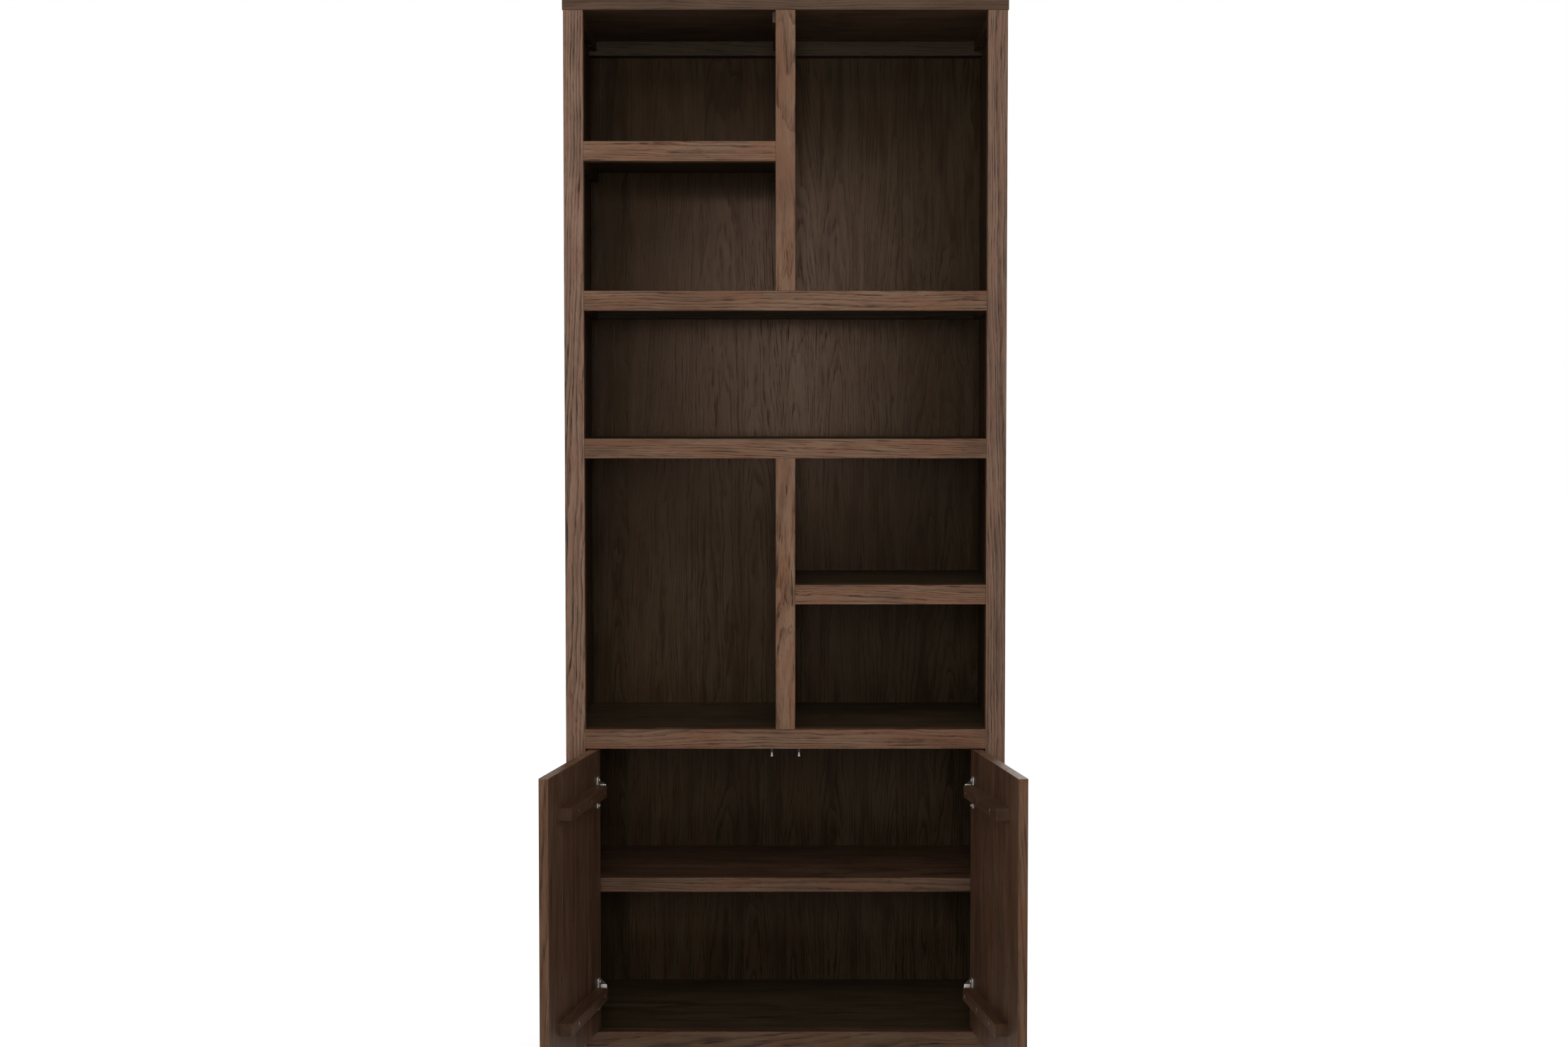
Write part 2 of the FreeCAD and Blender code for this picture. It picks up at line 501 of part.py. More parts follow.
def swung(solid, sign, angle):
    """Door solid turned open about its hinge pin: sign -1 for the left door, 1 for the right."""
    result = solid.copy()
    result.rotate(Vector(sign * -PIN_X, PIN_Y, 0), Vector(0, 0, 1), sign * angle)
    return result


HINGE_FIXED = ("hinge_arms", "hinge_plates", "hinge_screws", "hinge_blocks")
DOOR_NODES = [name for name in nodes if name.startswith("door_") or name in ("hinge_cups", "hinge_pins")]

finished = {}
for name in nodes:
    solids = finish(name)
    if name in HINGE_FIXED:
        finished[name] = solids + [to_right(solid) for solid in solids]
    elif name in DOOR_NODES:
        finished["left_" + name] = [swung(solid, -1, LEFT_OPEN) for solid in solids]
        finished["right_" + name] = [swung(to_right(solid), 1, RIGHT_OPEN) for solid in solids]
    else:
        finished[name] = solids

# ---------------------------------------------------------------- door stops under the cabinet top
STOP_Y = INNER_FACE + STOP_COLLAR_RADIUS + 0.3
STOP_TOP = CABINET_TOP - EDGE
COLLAR_LOW = STOP_TOP - STOP_COLLAR_HEIGHT
STOP_LOW = STOP_TOP - STOP_PIN_DROP
STUD_RADIUS = 2.5
STUD_LENGTH = 15.0
stop_length = STOP_PIN_DROP + STUD_LENGTH
stop_head = STOP_PIN_DROP - STOP_COLLAR_HEIGHT
stop_profile = [(0, 0), (2.6, 0), (3.5, 1.0), (3.5, 4.0), (2.8, 5.0), (2.8, stop_head),
                (STUD_RADIUS, stop_head), (STUD_RADIUS, stop_length), (0, stop_length)]
collars = []
stop_pins = []
for x in (-STOP_FROM_MIDDLE, STOP_FROM_MIDDLE):
    axis = Vector(0, 0, 1)
    foot = Vector(x, STOP_Y, COLLAR_LOW)
    ring = rod(STOP_COLLAR_RADIUS, STOP_COLLAR_HEIGHT, foot, axis)
    stud_hole = rod(STUD_RADIUS + FIT, STOP_COLLAR_HEIGHT + STUD_LENGTH + 1, foot, axis)
    collars.append(ring.cut(stud_hole))
    stop_pins.append(turned(stop_profile, Vector(x, STOP_Y, STOP_LOW), axis))
    lipping = finished["cabinet_top_lipping"][0].cut(stud_hole)
    finished["cabinet_top_lipping"] = lipping.Solids
finished["door_stop_collars"] = collars
finished["door_stop_pins"] = stop_pins

# ---------------------------------------------------------------- one STEP file per node
for name, solids in finished.items():
    shape = solids[0] if len(solids) == 1 else Part.makeCompound(solids)
    shape.exportStep("parts/%s.step" % name)
    print("%-26s %3d solids  %10.0f mm3" % (name, len(solids), sum(solid.Volume for solid in solids)))
print(len(finished), "nodes")
print("left hinge axis  x %.1f  y %.1f" % (PIN_X, PIN_Y))
print("hinge heights", HINGE_HEIGHTS)
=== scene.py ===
# %% [markdown]
# # A tall oak bookcase with a two-door cabinet
# The bookcase is made of thin panels behind solid lippings 40 mm wide, in dark smoked and brushed oak. Its
# frame, doors and hardware come in as finished solids, each at its real place, in metres. This notebook
# gives every one of them its finish, and models again the small metal pieces whose pressed and rounded
# shapes the solids only sketch.

# %% Load the frame and measure it
import math

import bpy
from mathutils import Matrix, Vector


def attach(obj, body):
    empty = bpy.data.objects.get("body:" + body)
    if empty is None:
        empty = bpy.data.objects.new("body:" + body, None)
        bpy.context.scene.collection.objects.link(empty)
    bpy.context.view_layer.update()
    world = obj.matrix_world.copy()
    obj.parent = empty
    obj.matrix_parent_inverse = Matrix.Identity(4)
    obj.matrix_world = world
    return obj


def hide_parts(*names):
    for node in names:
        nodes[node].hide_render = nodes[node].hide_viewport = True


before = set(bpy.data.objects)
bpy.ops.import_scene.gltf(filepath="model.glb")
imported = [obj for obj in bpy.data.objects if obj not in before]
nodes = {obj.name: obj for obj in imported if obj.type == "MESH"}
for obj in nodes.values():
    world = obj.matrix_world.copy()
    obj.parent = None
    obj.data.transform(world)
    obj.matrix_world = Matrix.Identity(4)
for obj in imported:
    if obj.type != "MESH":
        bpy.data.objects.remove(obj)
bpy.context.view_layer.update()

# %% [markdown]
# ## The camera
# The bookcase is looked at straight on, from a little above its middle, so that the boards above the eye
# show their undersides and those below show their tops. A camera that is level keeps the sides upright.
# This one is pitched down by less than three degrees, which makes the sides lean in by a hair towards the
# foot. The lens could be tried out by eye. Here it follows from the picture's width in pixels and the
# distance at which the front is as wide as it should be, so that it needs no trying.

# %% Place the camera
PICTURE_WIDTH = 2220.0          # pixels
FOCAL_PIXELS = 3282.2           # focal length in the same pixels
SENSOR_WIDTH = 36.0             # mm
EYE = Vector((-0.0030, -4.953, 1.3462))
PITCH_DOWN = 2.726              # degrees

bpy.ops.object.select_all(action="DESELECT")
bpy.ops.object.camera_add(location=EYE, rotation=(math.radians(90.0 - PITCH_DOWN), 0.0, 0.0))
camera = bpy.context.object
camera.name = "eye_level_camera"
camera.data.sensor_width = SENSOR_WIDTH
camera.data.lens = FOCAL_PIXELS / PICTURE_WIDTH * SENSOR_WIDTH
bpy.context.scene.camera = camera
print("lens %.1f mm" % camera.data.lens)

# %% [markdown]
# ## Nodes in short
# The world, the floor and every finish are trees of small nodes. They could be wired one link at a time,
# but then a recipe of ten steps fills a page. The helpers here add one node and feed its inputs, whether
# the source is another node's socket or a plain number, so that the recipes after them read like sums.

# %% Add a node and feed its inputs
def feed(tree, socket, source):
    """Link a socket to another, or set it to a number, a vector or a colour."""
    if isinstance(source, bpy.types.NodeSocket):
        tree.links.new(source, socket)
    else:
        socket.default_value = source


def add_node(tree, kind, **inputs):
    """Add a node and feed the inputs that are named, with _ for each space in a name."""
    node = tree.nodes.new(kind)
    for title, source in inputs.items():
        feed(tree, node.inputs[title.replace("_", " ")], source)
    return node


print("a node is fed by socket or by value:", feed.__name__, add_node.__name__)

# %% [markdown]
# ## The world
# A dark piece of furniture on a white ground asks for two things that pull apart: a background that is
# white, and light on the wood that is moderate. A brighter world would give the first and flood the niches.
# So the world has two strengths, and a Light Path node chooses between them. A ray straight from the camera
# meets plain white, and every other ray meets a weak even fill, reflections included, because white all
# round would lay a pale veil over the sheen of the dark boards.

# %% Set the view and the world
WORLD_FILL = 0.045              # strength of the even light from all round
FILL_COLOUR = (1.0, 0.985, 0.96, 1.0)
WHITE = (1.0, 1.0, 1.0, 1.0)
PLAIN_STRENGTH = 1.0            # at which white shows as white

scene = bpy.context.scene
scene.view_settings.view_transform = "Standard"
world = bpy.data.worlds.new("white_studio")
world.use_nodes = True
scene.world = world
tree = world.node_tree
tree.nodes.clear()
fill = add_node(tree, "ShaderNodeBackground", Color=FILL_COLOUR, Strength=WORLD_FILL)
white = add_node(tree, "ShaderNodeBackground", Color=WHITE, Strength=PLAIN_STRENGTH)
path = add_node(tree, "ShaderNodeLightPath")
choose = add_node(tree, "ShaderNodeMixShader", Fac=path.outputs["Is Camera Ray"])
tree.links.new(fill.outputs[0], choose.inputs[1])
tree.links.new(white.outputs[0], choose.inputs[2])
add_node(tree, "ShaderNodeOutputWorld", Surface=choose.outputs[0])
print("world", world.name, "with", len(tree.nodes), "nodes")

# %% [markdown]
# ## The floor
# A real studio floor is a white sheet that runs out of sight. A plain white sheet would throw much light up
# into the bookcase, and a grey one would show as grey. This floor is two paints in one. For light that
# spreads it is a matt mid grey. For a ray that looks at it, from the camera or by way of metal or glass, it
# glows nearly white under a thin matt coat, and that coat is what the bookcase's shadow falls on. Further
# out the glow reaches plain white, and the floor meets the background without an edge.

# %% Sums on values and vectors
def maths(tree, operation, first, second=0.0, third=0.0):
    """One sum on values."""
    node = tree.nodes.new("ShaderNodeMath")
    node.operation = operation
    for socket, source in zip(node.inputs, (first, second, third)):
        feed(tree, socket, source)
    return node.outputs[0]


def vector_maths(tree, operation, first, second=(0.0, 0.0, 0.0)):
    """One sum on vectors, which gives a vector, or a value where it measures."""
    node = tree.nodes.new("ShaderNodeVectorMath")
    node.operation = operation
    feed(tree, node.inputs[0], first)
    feed(tree, node.inputs[1], second)
    return node.outputs["Value"] if operation in ("LENGTH", "DOT_PRODUCT") else node.outputs["Vector"]


def remap(tree, source, low, high, to_low=0.0, to_high=1.0):
    """Smooth step of a value from one range to another."""
    node = add_node(tree, "ShaderNodeMapRange", Value=source, From_Min=low, From_Max=high, To_Min=to_low,
                    To_Max=to_high)
    node.interpolation_type = "SMOOTHSTEP"
    return node.outputs["Result"]


print("sums ready:", maths.__name__, vector_maths.__name__, remap.__name__)

# %% Tell a ray that looks from light that spreads
def seen_directly(tree):
    """1 for a ray that comes from the camera or from a mirror or glass, 0 for light that spreads."""
    path = add_node(tree, "ShaderNodeLightPath").outputs
    looked = maths(tree, "MAXIMUM", path["Is Camera Ray"], path["Is Glossy Ray"])
    return maths(tree, "MAXIMUM", looked, path["Is Transmission Ray"])


print("looking rays: camera, glossy, transmission")

# %% Lay the floor
FLOOR_SIZE = 60.0               # metres
FLOOR_COLOUR = (0.55, 0.55, 0.54, 1.0)
COAT_COLOUR = (0.22, 0.22, 0.22, 1.0)   # of the thin coat that takes the shadow
NEAR_WHITE = 0.90               # strength of the glow where a shadow can fall
SHADOW_START = 0.6              # metres from the middle, where the glow begins to grow
SHADOW_REACH = 3.0              # metres from the middle, where it is plain white

bpy.ops.mesh.primitive_plane_add(size=FLOOR_SIZE, location=(0.0, 0.0, 0.0))
floor = bpy.context.object
floor.name = "studio_floor"
floor_paint = bpy.data.materials.new("studio_floor_paint")
floor_paint.use_nodes = True
tree = floor_paint.node_tree
tree.nodes.clear()
from_middle = vector_maths(tree, "LENGTH", add_node(tree, "ShaderNodeTexCoord").outputs["Object"])
glow_strength = remap(tree, from_middle, SHADOW_START, SHADOW_REACH, NEAR_WHITE, PLAIN_STRENGTH)
glow = add_node(tree, "ShaderNodeEmission", Strength=glow_strength)
coat = add_node(tree, "ShaderNodeBsdfDiffuse", Color=COAT_COLOUR)
coated = add_node(tree, "ShaderNodeAddShader")
tree.links.new(glow.outputs[0], coated.inputs[0])
tree.links.new(coat.outputs[0], coated.inputs[1])
matt = add_node(tree, "ShaderNodeBsdfDiffuse", Color=FLOOR_COLOUR)
choose = add_node(tree, "ShaderNodeMixShader", Fac=seen_directly(tree))
tree.links.new(matt.outputs[0], choose.inputs[1])
tree.links.new(coated.outputs[0], choose.inputs[2])
add_node(tree, "ShaderNodeOutputMaterial", Surface=choose.outputs[0])
floor.data.materials.append(floor_paint)
print("floor", FLOOR_SIZE, "m wide, plain white from", SHADOW_REACH, "m out")

# %% [markdown]
# ## The lamps
# Open shelves want light from the front, because each niche sees the room only through its own mouth. One
# point of light would cut hard shadows, and light from all round would fill the niches. So a large soft
# lamp hangs high in front, and a narrow upright one stands behind the camera, where the smooth back panel
# shows it as a soft glow. A small one low on the left does the same for the lowest niches. Weak lamps
# beside and behind keep the other sides readable. Area lamps do this with three numbers each: width, height
# and power.

# %% Hang the lamps
def soft_lamp(name, place, aim, width, height, power):
    """Rectangular lamp that the camera doesn't see, turned from its place towards its aim."""
    bpy.ops.object.light_add(type="AREA", location=place)
    lamp = bpy.context.object
    lamp.name = name
    lamp.data.shape = "RECTANGLE"
    lamp.data.size = width
    lamp.data.size_y = height
    lamp.data.energy = power
    lamp.rotation_euler = (Vector(aim) - Vector(place)).to_track_quat("-Z", "Y").to_euler()
    lamp.visible_camera = False


MIDDLE = (0.0, 0.0, 1.4)        # of the open shelves
SIDE_MIDDLE = (0.0, 0.2, 1.1)   # of a side panel
BACK_MIDDLE = (0.0, 0.0, 1.1)
LOW_NICHES = (-0.2, 0.0, 1.0)
LAMPS = (                       # name, place, aim, width and height in metres, power in watts
    ("front_lamp", (0.0, -5.3, 1.76), MIDDLE, 0.75, 1.3, 58.0),
    ("low_lamp", (-0.4, -5.3, 0.6), LOW_NICHES, 0.35, 0.55, 5.0),
    ("high_lamp", (0.0, -3.2, 3.4), MIDDLE, 3.0, 1.5, 46.5),
    ("left_front_lamp", (-3.2, -3.6, 1.9), MIDDLE, 1.5, 2.2, 24.0),
    ("right_front_lamp", (3.2, -3.6, 1.9), MIDDLE, 1.5, 2.2, 12.0),
    ("left_lamp", (-4.2, 1.0, 2.2), SIDE_MIDDLE, 2.4, 2.4, 50.0),
    ("right_lamp", (4.2, 1.0, 2.2), SIDE_MIDDLE, 2.4, 2.4, 50.0),
    ("back_lamp", (0.6, 4.2, 2.6), BACK_MIDDLE, 3.0, 2.4, 90.0))
for lamp in LAMPS:
    soft_lamp(*lamp)

# %% [markdown]
# ## Node groups
# An effect that many materials share goes into a node group, which is built once and placed in each
# material with its own values. A group has named sockets, as a shader has. It gives out colours and values
# only, and the shader stays in the material. Four more helpers do what the oak asks for: a noise, a colour
# ramp, a blend of two colours and a vector taken apart.

# %% Start a node group
SOCKET_KINDS = {"value": "NodeSocketFloat", "vector": "NodeSocketVector", "colour": "NodeSocketColor"}


def new_group(name, inputs, outputs):
    """Node group with its inputs as (name, kind, default) and its outputs as (name, kind)."""
    group = bpy.data.node_groups.new(name, "ShaderNodeTree")
    for title, kind, start in inputs:
        socket = group.interface.new_socket(name=title, in_out="INPUT", socket_type=SOCKET_KINDS[kind])
        if start is not None:
            socket.default_value = start
    for title, kind in outputs:
        group.interface.new_socket(name=title, in_out="OUTPUT", socket_type=SOCKET_KINDS[kind])
    return group, group.nodes.new("NodeGroupInput").outputs, group.nodes.new("NodeGroupOutput").inputs


print("socket kinds", sorted(SOCKET_KINDS))

# %% Patterns and colours, one node each
def noise(tree, vector, scale, detail=2.0, roughness=0.5, output="Fac"):
    """Soft random pattern, its scale counted in waves to the metre."""
    node = add_node(tree, "ShaderNodeTexNoise", Vector=vector, Scale=scale, Detail=detail,
                    Roughness=roughness)
    return node.outputs[output]


def ramp(tree, source, stops):
    """Colour ramp from (position, grey) stops."""
    node = add_node(tree, "ShaderNodeValToRGB", Fac=source)
    elements = node.color_ramp.elements
    while len(elements) < len(stops):
        elements.new(0.5)
    for element, (position, grey) in zip(elements, stops):
        element.position = position
        element.color = (grey, grey, grey, 1.0)
    return node.outputs["Color"]


def blend(tree, amount, first, second):
    """First colour at 0, second colour at 1."""
    node = tree.nodes.new("ShaderNodeMix")
    node.data_type = "RGBA"
    for title, source in (("Factor", amount), ("A", first), ("B", second)):
        feed(tree, node.inputs[title], source)
    return node.outputs["Result"]


print("patterns ready:", noise.__name__, ramp.__name__, blend.__name__)

# %% Vectors taken apart, put together and scaled
def apart(tree, vector):
    """X, Y and Z of a vector."""
    return tuple(add_node(tree, "ShaderNodeSeparateXYZ", Vector=vector).outputs)


def together(tree, x, y=0.0, z=0.0):
    """Vector from three values, or from one, for noise along a line."""
    return add_node(tree, "ShaderNodeCombineXYZ", X=x, Y=y, Z=z).outputs[0]


def scaled(tree, vector, factor):
    """Vector times a value."""
    node = add_node(tree, "ShaderNodeVectorMath")
    node.operation = "SCALE"
    feed(tree, node.inputs[0], vector)
    feed(tree, node.inputs["Scale"], factor)
    return node.outputs["Vector"]


print("vectors ready:", apart.__name__, together.__name__, scaled.__name__)

# %% [markdown]
# ## Oak, as a log of growth rings
# Sawn oak is a stack of growth rings cut by a flat face. Each ring starts with a band of open pores, which
# hold the dark stain, and ends in dense wood, which the brush leaves proud and paler. Where the saw runs
# along the rings they show as straight lines, and where it skims them they close into arches. Such a
# pattern could be painted on each face. Instead, the group below builds the log: it measures how far a
# point lies from the pith, and divides that by the width of a ring. Every face of a board then shows the
# right thing, end grain too. The grain runs along the group's own Z, so a Mapping node in front of it turns
# the log along the board.

# %% The trunk isn't straight
TRUNK_WANDERS = (               # share along the trunk, scale of the noise, reach in metres
    (0.10, 7.0, 0.045),
    (0.16, 24.0, 0.009),
    (0.30, 70.0, 0.0017))
NOISE_MIDDLE = (0.5, 0.5, 0.5)


def trunk_wander(group, place):
    """How far slow noise, in three sizes, pushes the rings about."""
    warp = (0.0, 0.0, 0.0)
    for along, scale, reach in TRUNK_WANDERS:
        pulled = vector_maths(group, "MULTIPLY", place, (1.0, 1.0, along))
        cloud = noise(group, pulled, scale, 1.0, 0.5, "Color")
        centred = vector_maths(group, "SUBTRACT", cloud, NOISE_MIDDLE)
        step = vector_maths(group, "MULTIPLY", centred, (2.0 * reach, 2.0 * reach, 0.0))
        warp = vector_maths(group, "ADD", step, warp)
    return warp


print("trunk wanders by up to", [reach for along, scale, reach in TRUNK_WANDERS], "m")

# %% Rings about the pith
RING_BAND = ((0.0, 0.05), (0.14, 0.12), (0.42, 0.66), (0.84, 0.96), (0.97, 0.80), (1.0, 0.05))
RING_MIDDLE = 0.55              # value of an average place in a ring
UNEVEN_SCALE = 0.35             # how slowly the rings' widths change, in waves to the ring
UNEVEN_REACH = 2.6              # and by how many rings
STRENGTH_SCALE = 0.9            # how quickly strong and faint rings follow each other
STRENGTH_RANGE = (0.3, 0.7, 0.35, 1.0)


def growth_rings(group, given, bent):
    """Value of a place in its ring: low in the open pores, high in the dense wood."""
    lean = maths(group, "MULTIPLY_ADD", apart(group, bent)[2], given["Tilt"], 1.0)
    across = vector_maths(group, "SUBTRACT", bent, scaled(group, given["Pith"], lean))
    radius = vector_maths(group, "LENGTH", vector_maths(group, "MULTIPLY", across, (1.0, 1.0, 0.0)))
    count = maths(group, "DIVIDE", radius, given["Ring Width"])
    uneven = noise(group, together(group, count), UNEVEN_SCALE, 1.0)
    count = maths(group, "MULTIPLY_ADD", uneven, UNEVEN_REACH, count)
    band = ramp(group, maths(group, "FRACT", count), RING_BAND)
    strength = remap(group, noise(group, together(group, count), STRENGTH_SCALE, 0.0), *STRENGTH_RANGE)
    return maths(group, "MULTIPLY_ADD", maths(group, "SUBTRACT", band, RING_MIDDLE), strength, RING_MIDDLE)


print("a ring has", len(RING_BAND), "stops from pore to pore")

# %% The log: rings, pores, fibres and slow changes of tone
SEED_SHIFT = (1.31, 2.17, 3.73)     # metres that a seed of 1 moves the board along in the log's noise
DRAWN_OUT = (1.0, 1.0, 0.045)       # makes pores and fibres about 22 times as long as wide
STREAK_NOISE = (330.0, 2.0, 0.6)    # scale, detail and roughness
STREAK_STEP = (0.50, 0.66)          # where in the noise a streak begins, and where it is full
PORE_NOISE = (900.0, 1.0, 0.5)
PORE_STEP = (0.52, 0.70)
FIBRE_NOISE = (2200.0, 2.0, 0.6)
SLOW = (1.0, 1.0, 0.16)             # changes of tone are drawn out less
DRIFT_NOISE = (34.0, 2.0, 0.55)
WARMTH_NOISE = (46.0, 2.0, 0.6)
WARMTH_SHIFT = (5.0, 3.0, 1.0)      # keeps warmth and drift from going together
LOG_INPUTS = [("Vector", "vector", None), ("Pith", "vector", (0.0, 0.09, 0.0)), ("Tilt", "value", 0.2),
              ("Ring Width", "value", 0.0042), ("Seed", "value", 0.0)]
LOG_VALUES = ("Rings", "Streaks", "Pores", "Fibre", "Drift", "Warmth")


def build_log():
    """Node group of a log whose pith runs along Z, measured in metres."""
    group, given, out = new_group("oak_log", LOG_INPUTS, [(title, "value") for title in LOG_VALUES])
    place = vector_maths(group, "ADD", given["Vector"], scaled(group, SEED_SHIFT, given["Seed"]))
    warp = trunk_wander(group, place)
    bent = vector_maths(group, "ADD", given["Vector"], warp)
    feed(group, out["Rings"], growth_rings(group, given, bent))

    # Short dark streaks where stain has settled, then the pores proper, then the finest fibre.
    long_way = vector_maths(group, "MULTIPLY", vector_maths(group, "ADD", place, warp), DRAWN_OUT)
    feed(group, out["Streaks"], remap(group, noise(group, long_way, *STREAK_NOISE), *STREAK_STEP))
    feed(group, out["Pores"], remap(group, noise(group, long_way, *PORE_NOISE), *PORE_STEP))
    feed(group, out["Fibre"], noise(group, long_way, *FIBRE_NOISE))

    # Slow changes: how dark a stretch is, and how warm.
    slow = vector_maths(group, "MULTIPLY", place, SLOW)
    feed(group, out["Drift"], noise(group, slow, *DRIFT_NOISE))
    feed(group, out["Warmth"], noise(group, vector_maths(group, "ADD", slow, WARMTH_SHIFT), *WARMTH_NOISE))
    return group


OAK_LOG = build_log()
print("group", OAK_LOG.name, "with", len(OAK_LOG.nodes), "nodes")

# %% [markdown]
# ## The smoked finish
# Smoked oak has no single brown. Brushed ridges are a dusty grey-brown, stretches of the same board turn
# reddish, and the open pores are nearly black. One brown with a noise over it would look like painted
# board. The group below mixes those four colours by what the log says, and gives a height for the brushed
# surface. Boards differ from each other too, so a tone makes a board lighter or darker, and a tint turns
# its colour.

# %% The finish's colours and weights
PALE_RIDGE = (0.200, 0.114, 0.070, 1.0)
MID_BROWN = (0.088, 0.044, 0.025, 1.0)
REDDISH = (0.175, 0.073, 0.038, 1.0)
DARK_PORE = (0.024, 0.012, 0.007, 1.0)
NO_TINT = (1.0, 1.0, 1.0)

DRIFT_WEIGHT = 2.7              # how much a slow change counts beside a ring
FIBRE_WEIGHT = 0.5
BODY_RANGE = (-0.10, 1.10)      # from all brown to all pale
WARM_RANGE = (0.42, 0.62)       # from not reddish to as reddish as the board gets
EARLY_WOOD = (0.75, 0.25, 0.30, 1.0)    # pores are densest early in a ring, where its value is low
PORE_SHARE = 0.7                # how dark a pore is beside a streak
STAIN_SHARE = 0.75              # and how much of the stain stays at a contrast of 1
RING_HEIGHT = 0.5
FIBRE_HEIGHT = 0.35
STAIN_DEPTH = 0.8
print("smoked oak from", MID_BROWN[:3], "to", PALE_RIDGE[:3])

# %% The finish: four browns, a height and how much stain a place holds
def stain_held(group, given):
    """How much dark stain a place holds, in its streaks and in its pores."""
    early = remap(group, given["Rings"], *EARLY_WOOD)
    streaks = maths(group, "MULTIPLY", given["Streaks"], early)
    pores = maths(group, "MULTIPLY", given["Pores"], maths(group, "MULTIPLY", early, PORE_SHARE))
    held = maths(group, "MAXIMUM", streaks, pores)
    return maths(group, "MULTIPLY", held, maths(group, "MULTIPLY", given["Contrast"], STAIN_SHARE))


def wood_between_pores(group, given):
    """Colour of the wood itself, from brown to pale ridges, with its reddish stretches."""
    rings = maths(group, "SUBTRACT", given["Rings"], RING_MIDDLE)
    level = maths(group, "MULTIPLY_ADD", rings, given["Contrast"], RING_MIDDLE)
    level = maths(group, "MULTIPLY_ADD", maths(group, "SUBTRACT", given["Drift"], 0.5), DRIFT_WEIGHT, level)
    level = maths(group, "MULTIPLY_ADD", maths(group, "SUBTRACT", given["Fibre"], 0.5), FIBRE_WEIGHT, level)
    body = blend(group, remap(group, level, *BODY_RANGE), MID_BROWN, PALE_RIDGE)
    warm = maths(group, "MULTIPLY", remap(group, given["Warmth"], *WARM_RANGE), given["Redness"])
    return blend(group, warm, body, REDDISH)


def build_finish():
    """Node group that turns what the log says into colour, height and held stain."""
    starts = {"Rings": 0.5, "Streaks": 0.0, "Pores": 0.0, "Fibre": 0.5, "Drift": 0.5, "Warmth": 0.5,
              "Redness": 0.6, "Tone": 1.0, "Contrast": 1.0}
    inputs = [(title, "value", start) for title, start in starts.items()] + [("Tint", "vector", NO_TINT)]
    outputs = [("Color", "colour"), ("Height", "value"), ("Dark", "value")]
    group, given, out = new_group("smoked_finish", inputs, outputs)
    dark = stain_held(group, given)
    body = blend(group, dark, wood_between_pores(group, given), DARK_PORE)
    toned = scaled(group, body, given["Tone"])
    feed(group, out["Color"], vector_maths(group, "MULTIPLY", toned, given["Tint"]))
    fibres = maths(group, "MULTIPLY", given["Fibre"], FIBRE_HEIGHT)
    height = maths(group, "MULTIPLY_ADD", given["Rings"], RING_HEIGHT, fibres)
    sunk = maths(group, "MULTIPLY", dark, STAIN_DEPTH)
    feed(group, out["Height"], maths(group, "SUBTRACT", height, sunk))
    feed(group, out["Dark"], dark)
    return group


SMOKED_FINISH = build_finish()
print("group", SMOKED_FINISH.name, "with", len(SMOKED_FINISH.nodes), "nodes")

# %% [markdown]
# ## Glued leaves
# The back is one wide panel, and no oak gives a sheet 800 mm wide. It is veneered with leaves about 85 mm
# wide, glued side by side, and each leaf comes from another place in the log. Ten strips of mesh with ten
# materials would show that, but the panel is one solid. The group below counts which leaf a point is in,
# draws three chances for that leaf, and gives it a pith, a seed, a tone and a warmth of its own. White
# noise on a whole number is the same in every run.

# %% The leaves of a wide panel
LEAF_WIDTH = 0.0853             # metres
PITH_SPREAD = 0.16              # metres that the leaves' piths lie apart, at most
SEED_PER_LEAF = 0.91
LEAF_TONE = (0.30, 0.85)        # spread and least
LEAF_WARMTH = (0.26, -0.13)
LEAF_INPUTS = [("Vector", "vector", None), ("Leaf Width", "value", LEAF_WIDTH), ("Start", "value", 0.0),
               ("Seed", "value", 0.0)]
LEAF_OUTPUTS = [("Vector", "vector"), ("Seed", "value"), ("Tone", "value"), ("Warmer", "value")]


def build_leaves():
    """Node group that cuts a wide panel into leaves, each with a pith, a seed and a tone of its own."""
    group, given, out = new_group("glued_leaves", LEAF_INPUTS, LEAF_OUTPUTS)
    x, y, z = apart(group, given["Vector"])
    leaves = maths(group, "DIVIDE", maths(group, "SUBTRACT", x, given["Start"]), given["Leaf Width"])
    index = maths(group, "FLOOR", leaves)
    chance = add_node(group, "ShaderNodeTexWhiteNoise")
    chance.noise_dimensions = "1D"
    feed(group, chance.inputs["W"], maths(group, "ADD", index, given["Seed"]))
    place_chance, tone_chance, warmth_chance = apart(group, chance.outputs["Color"])
    inside = maths(group, "SUBTRACT", maths(group, "FRACT", leaves), 0.5)
    aside = maths(group, "MULTIPLY", maths(group, "SUBTRACT", place_chance, 0.5), PITH_SPREAD)
    from_pith = maths(group, "MULTIPLY_ADD", inside, given["Leaf Width"], aside)
    feed(group, out["Vector"], together(group, from_pith, y, z))
    feed(group, out["Seed"], maths(group, "MULTIPLY_ADD", index, SEED_PER_LEAF, given["Seed"]))
    feed(group, out["Tone"], maths(group, "MULTIPLY_ADD", tone_chance, *LEAF_TONE))
    feed(group, out["Warmer"], maths(group, "MULTIPLY_ADD", warmth_chance, *LEAF_WARMTH))
    return group


GLUED_LEAVES = build_leaves()
print("group", GLUED_LEAVES.name, "with", len(GLUED_LEAVES.nodes), "nodes")
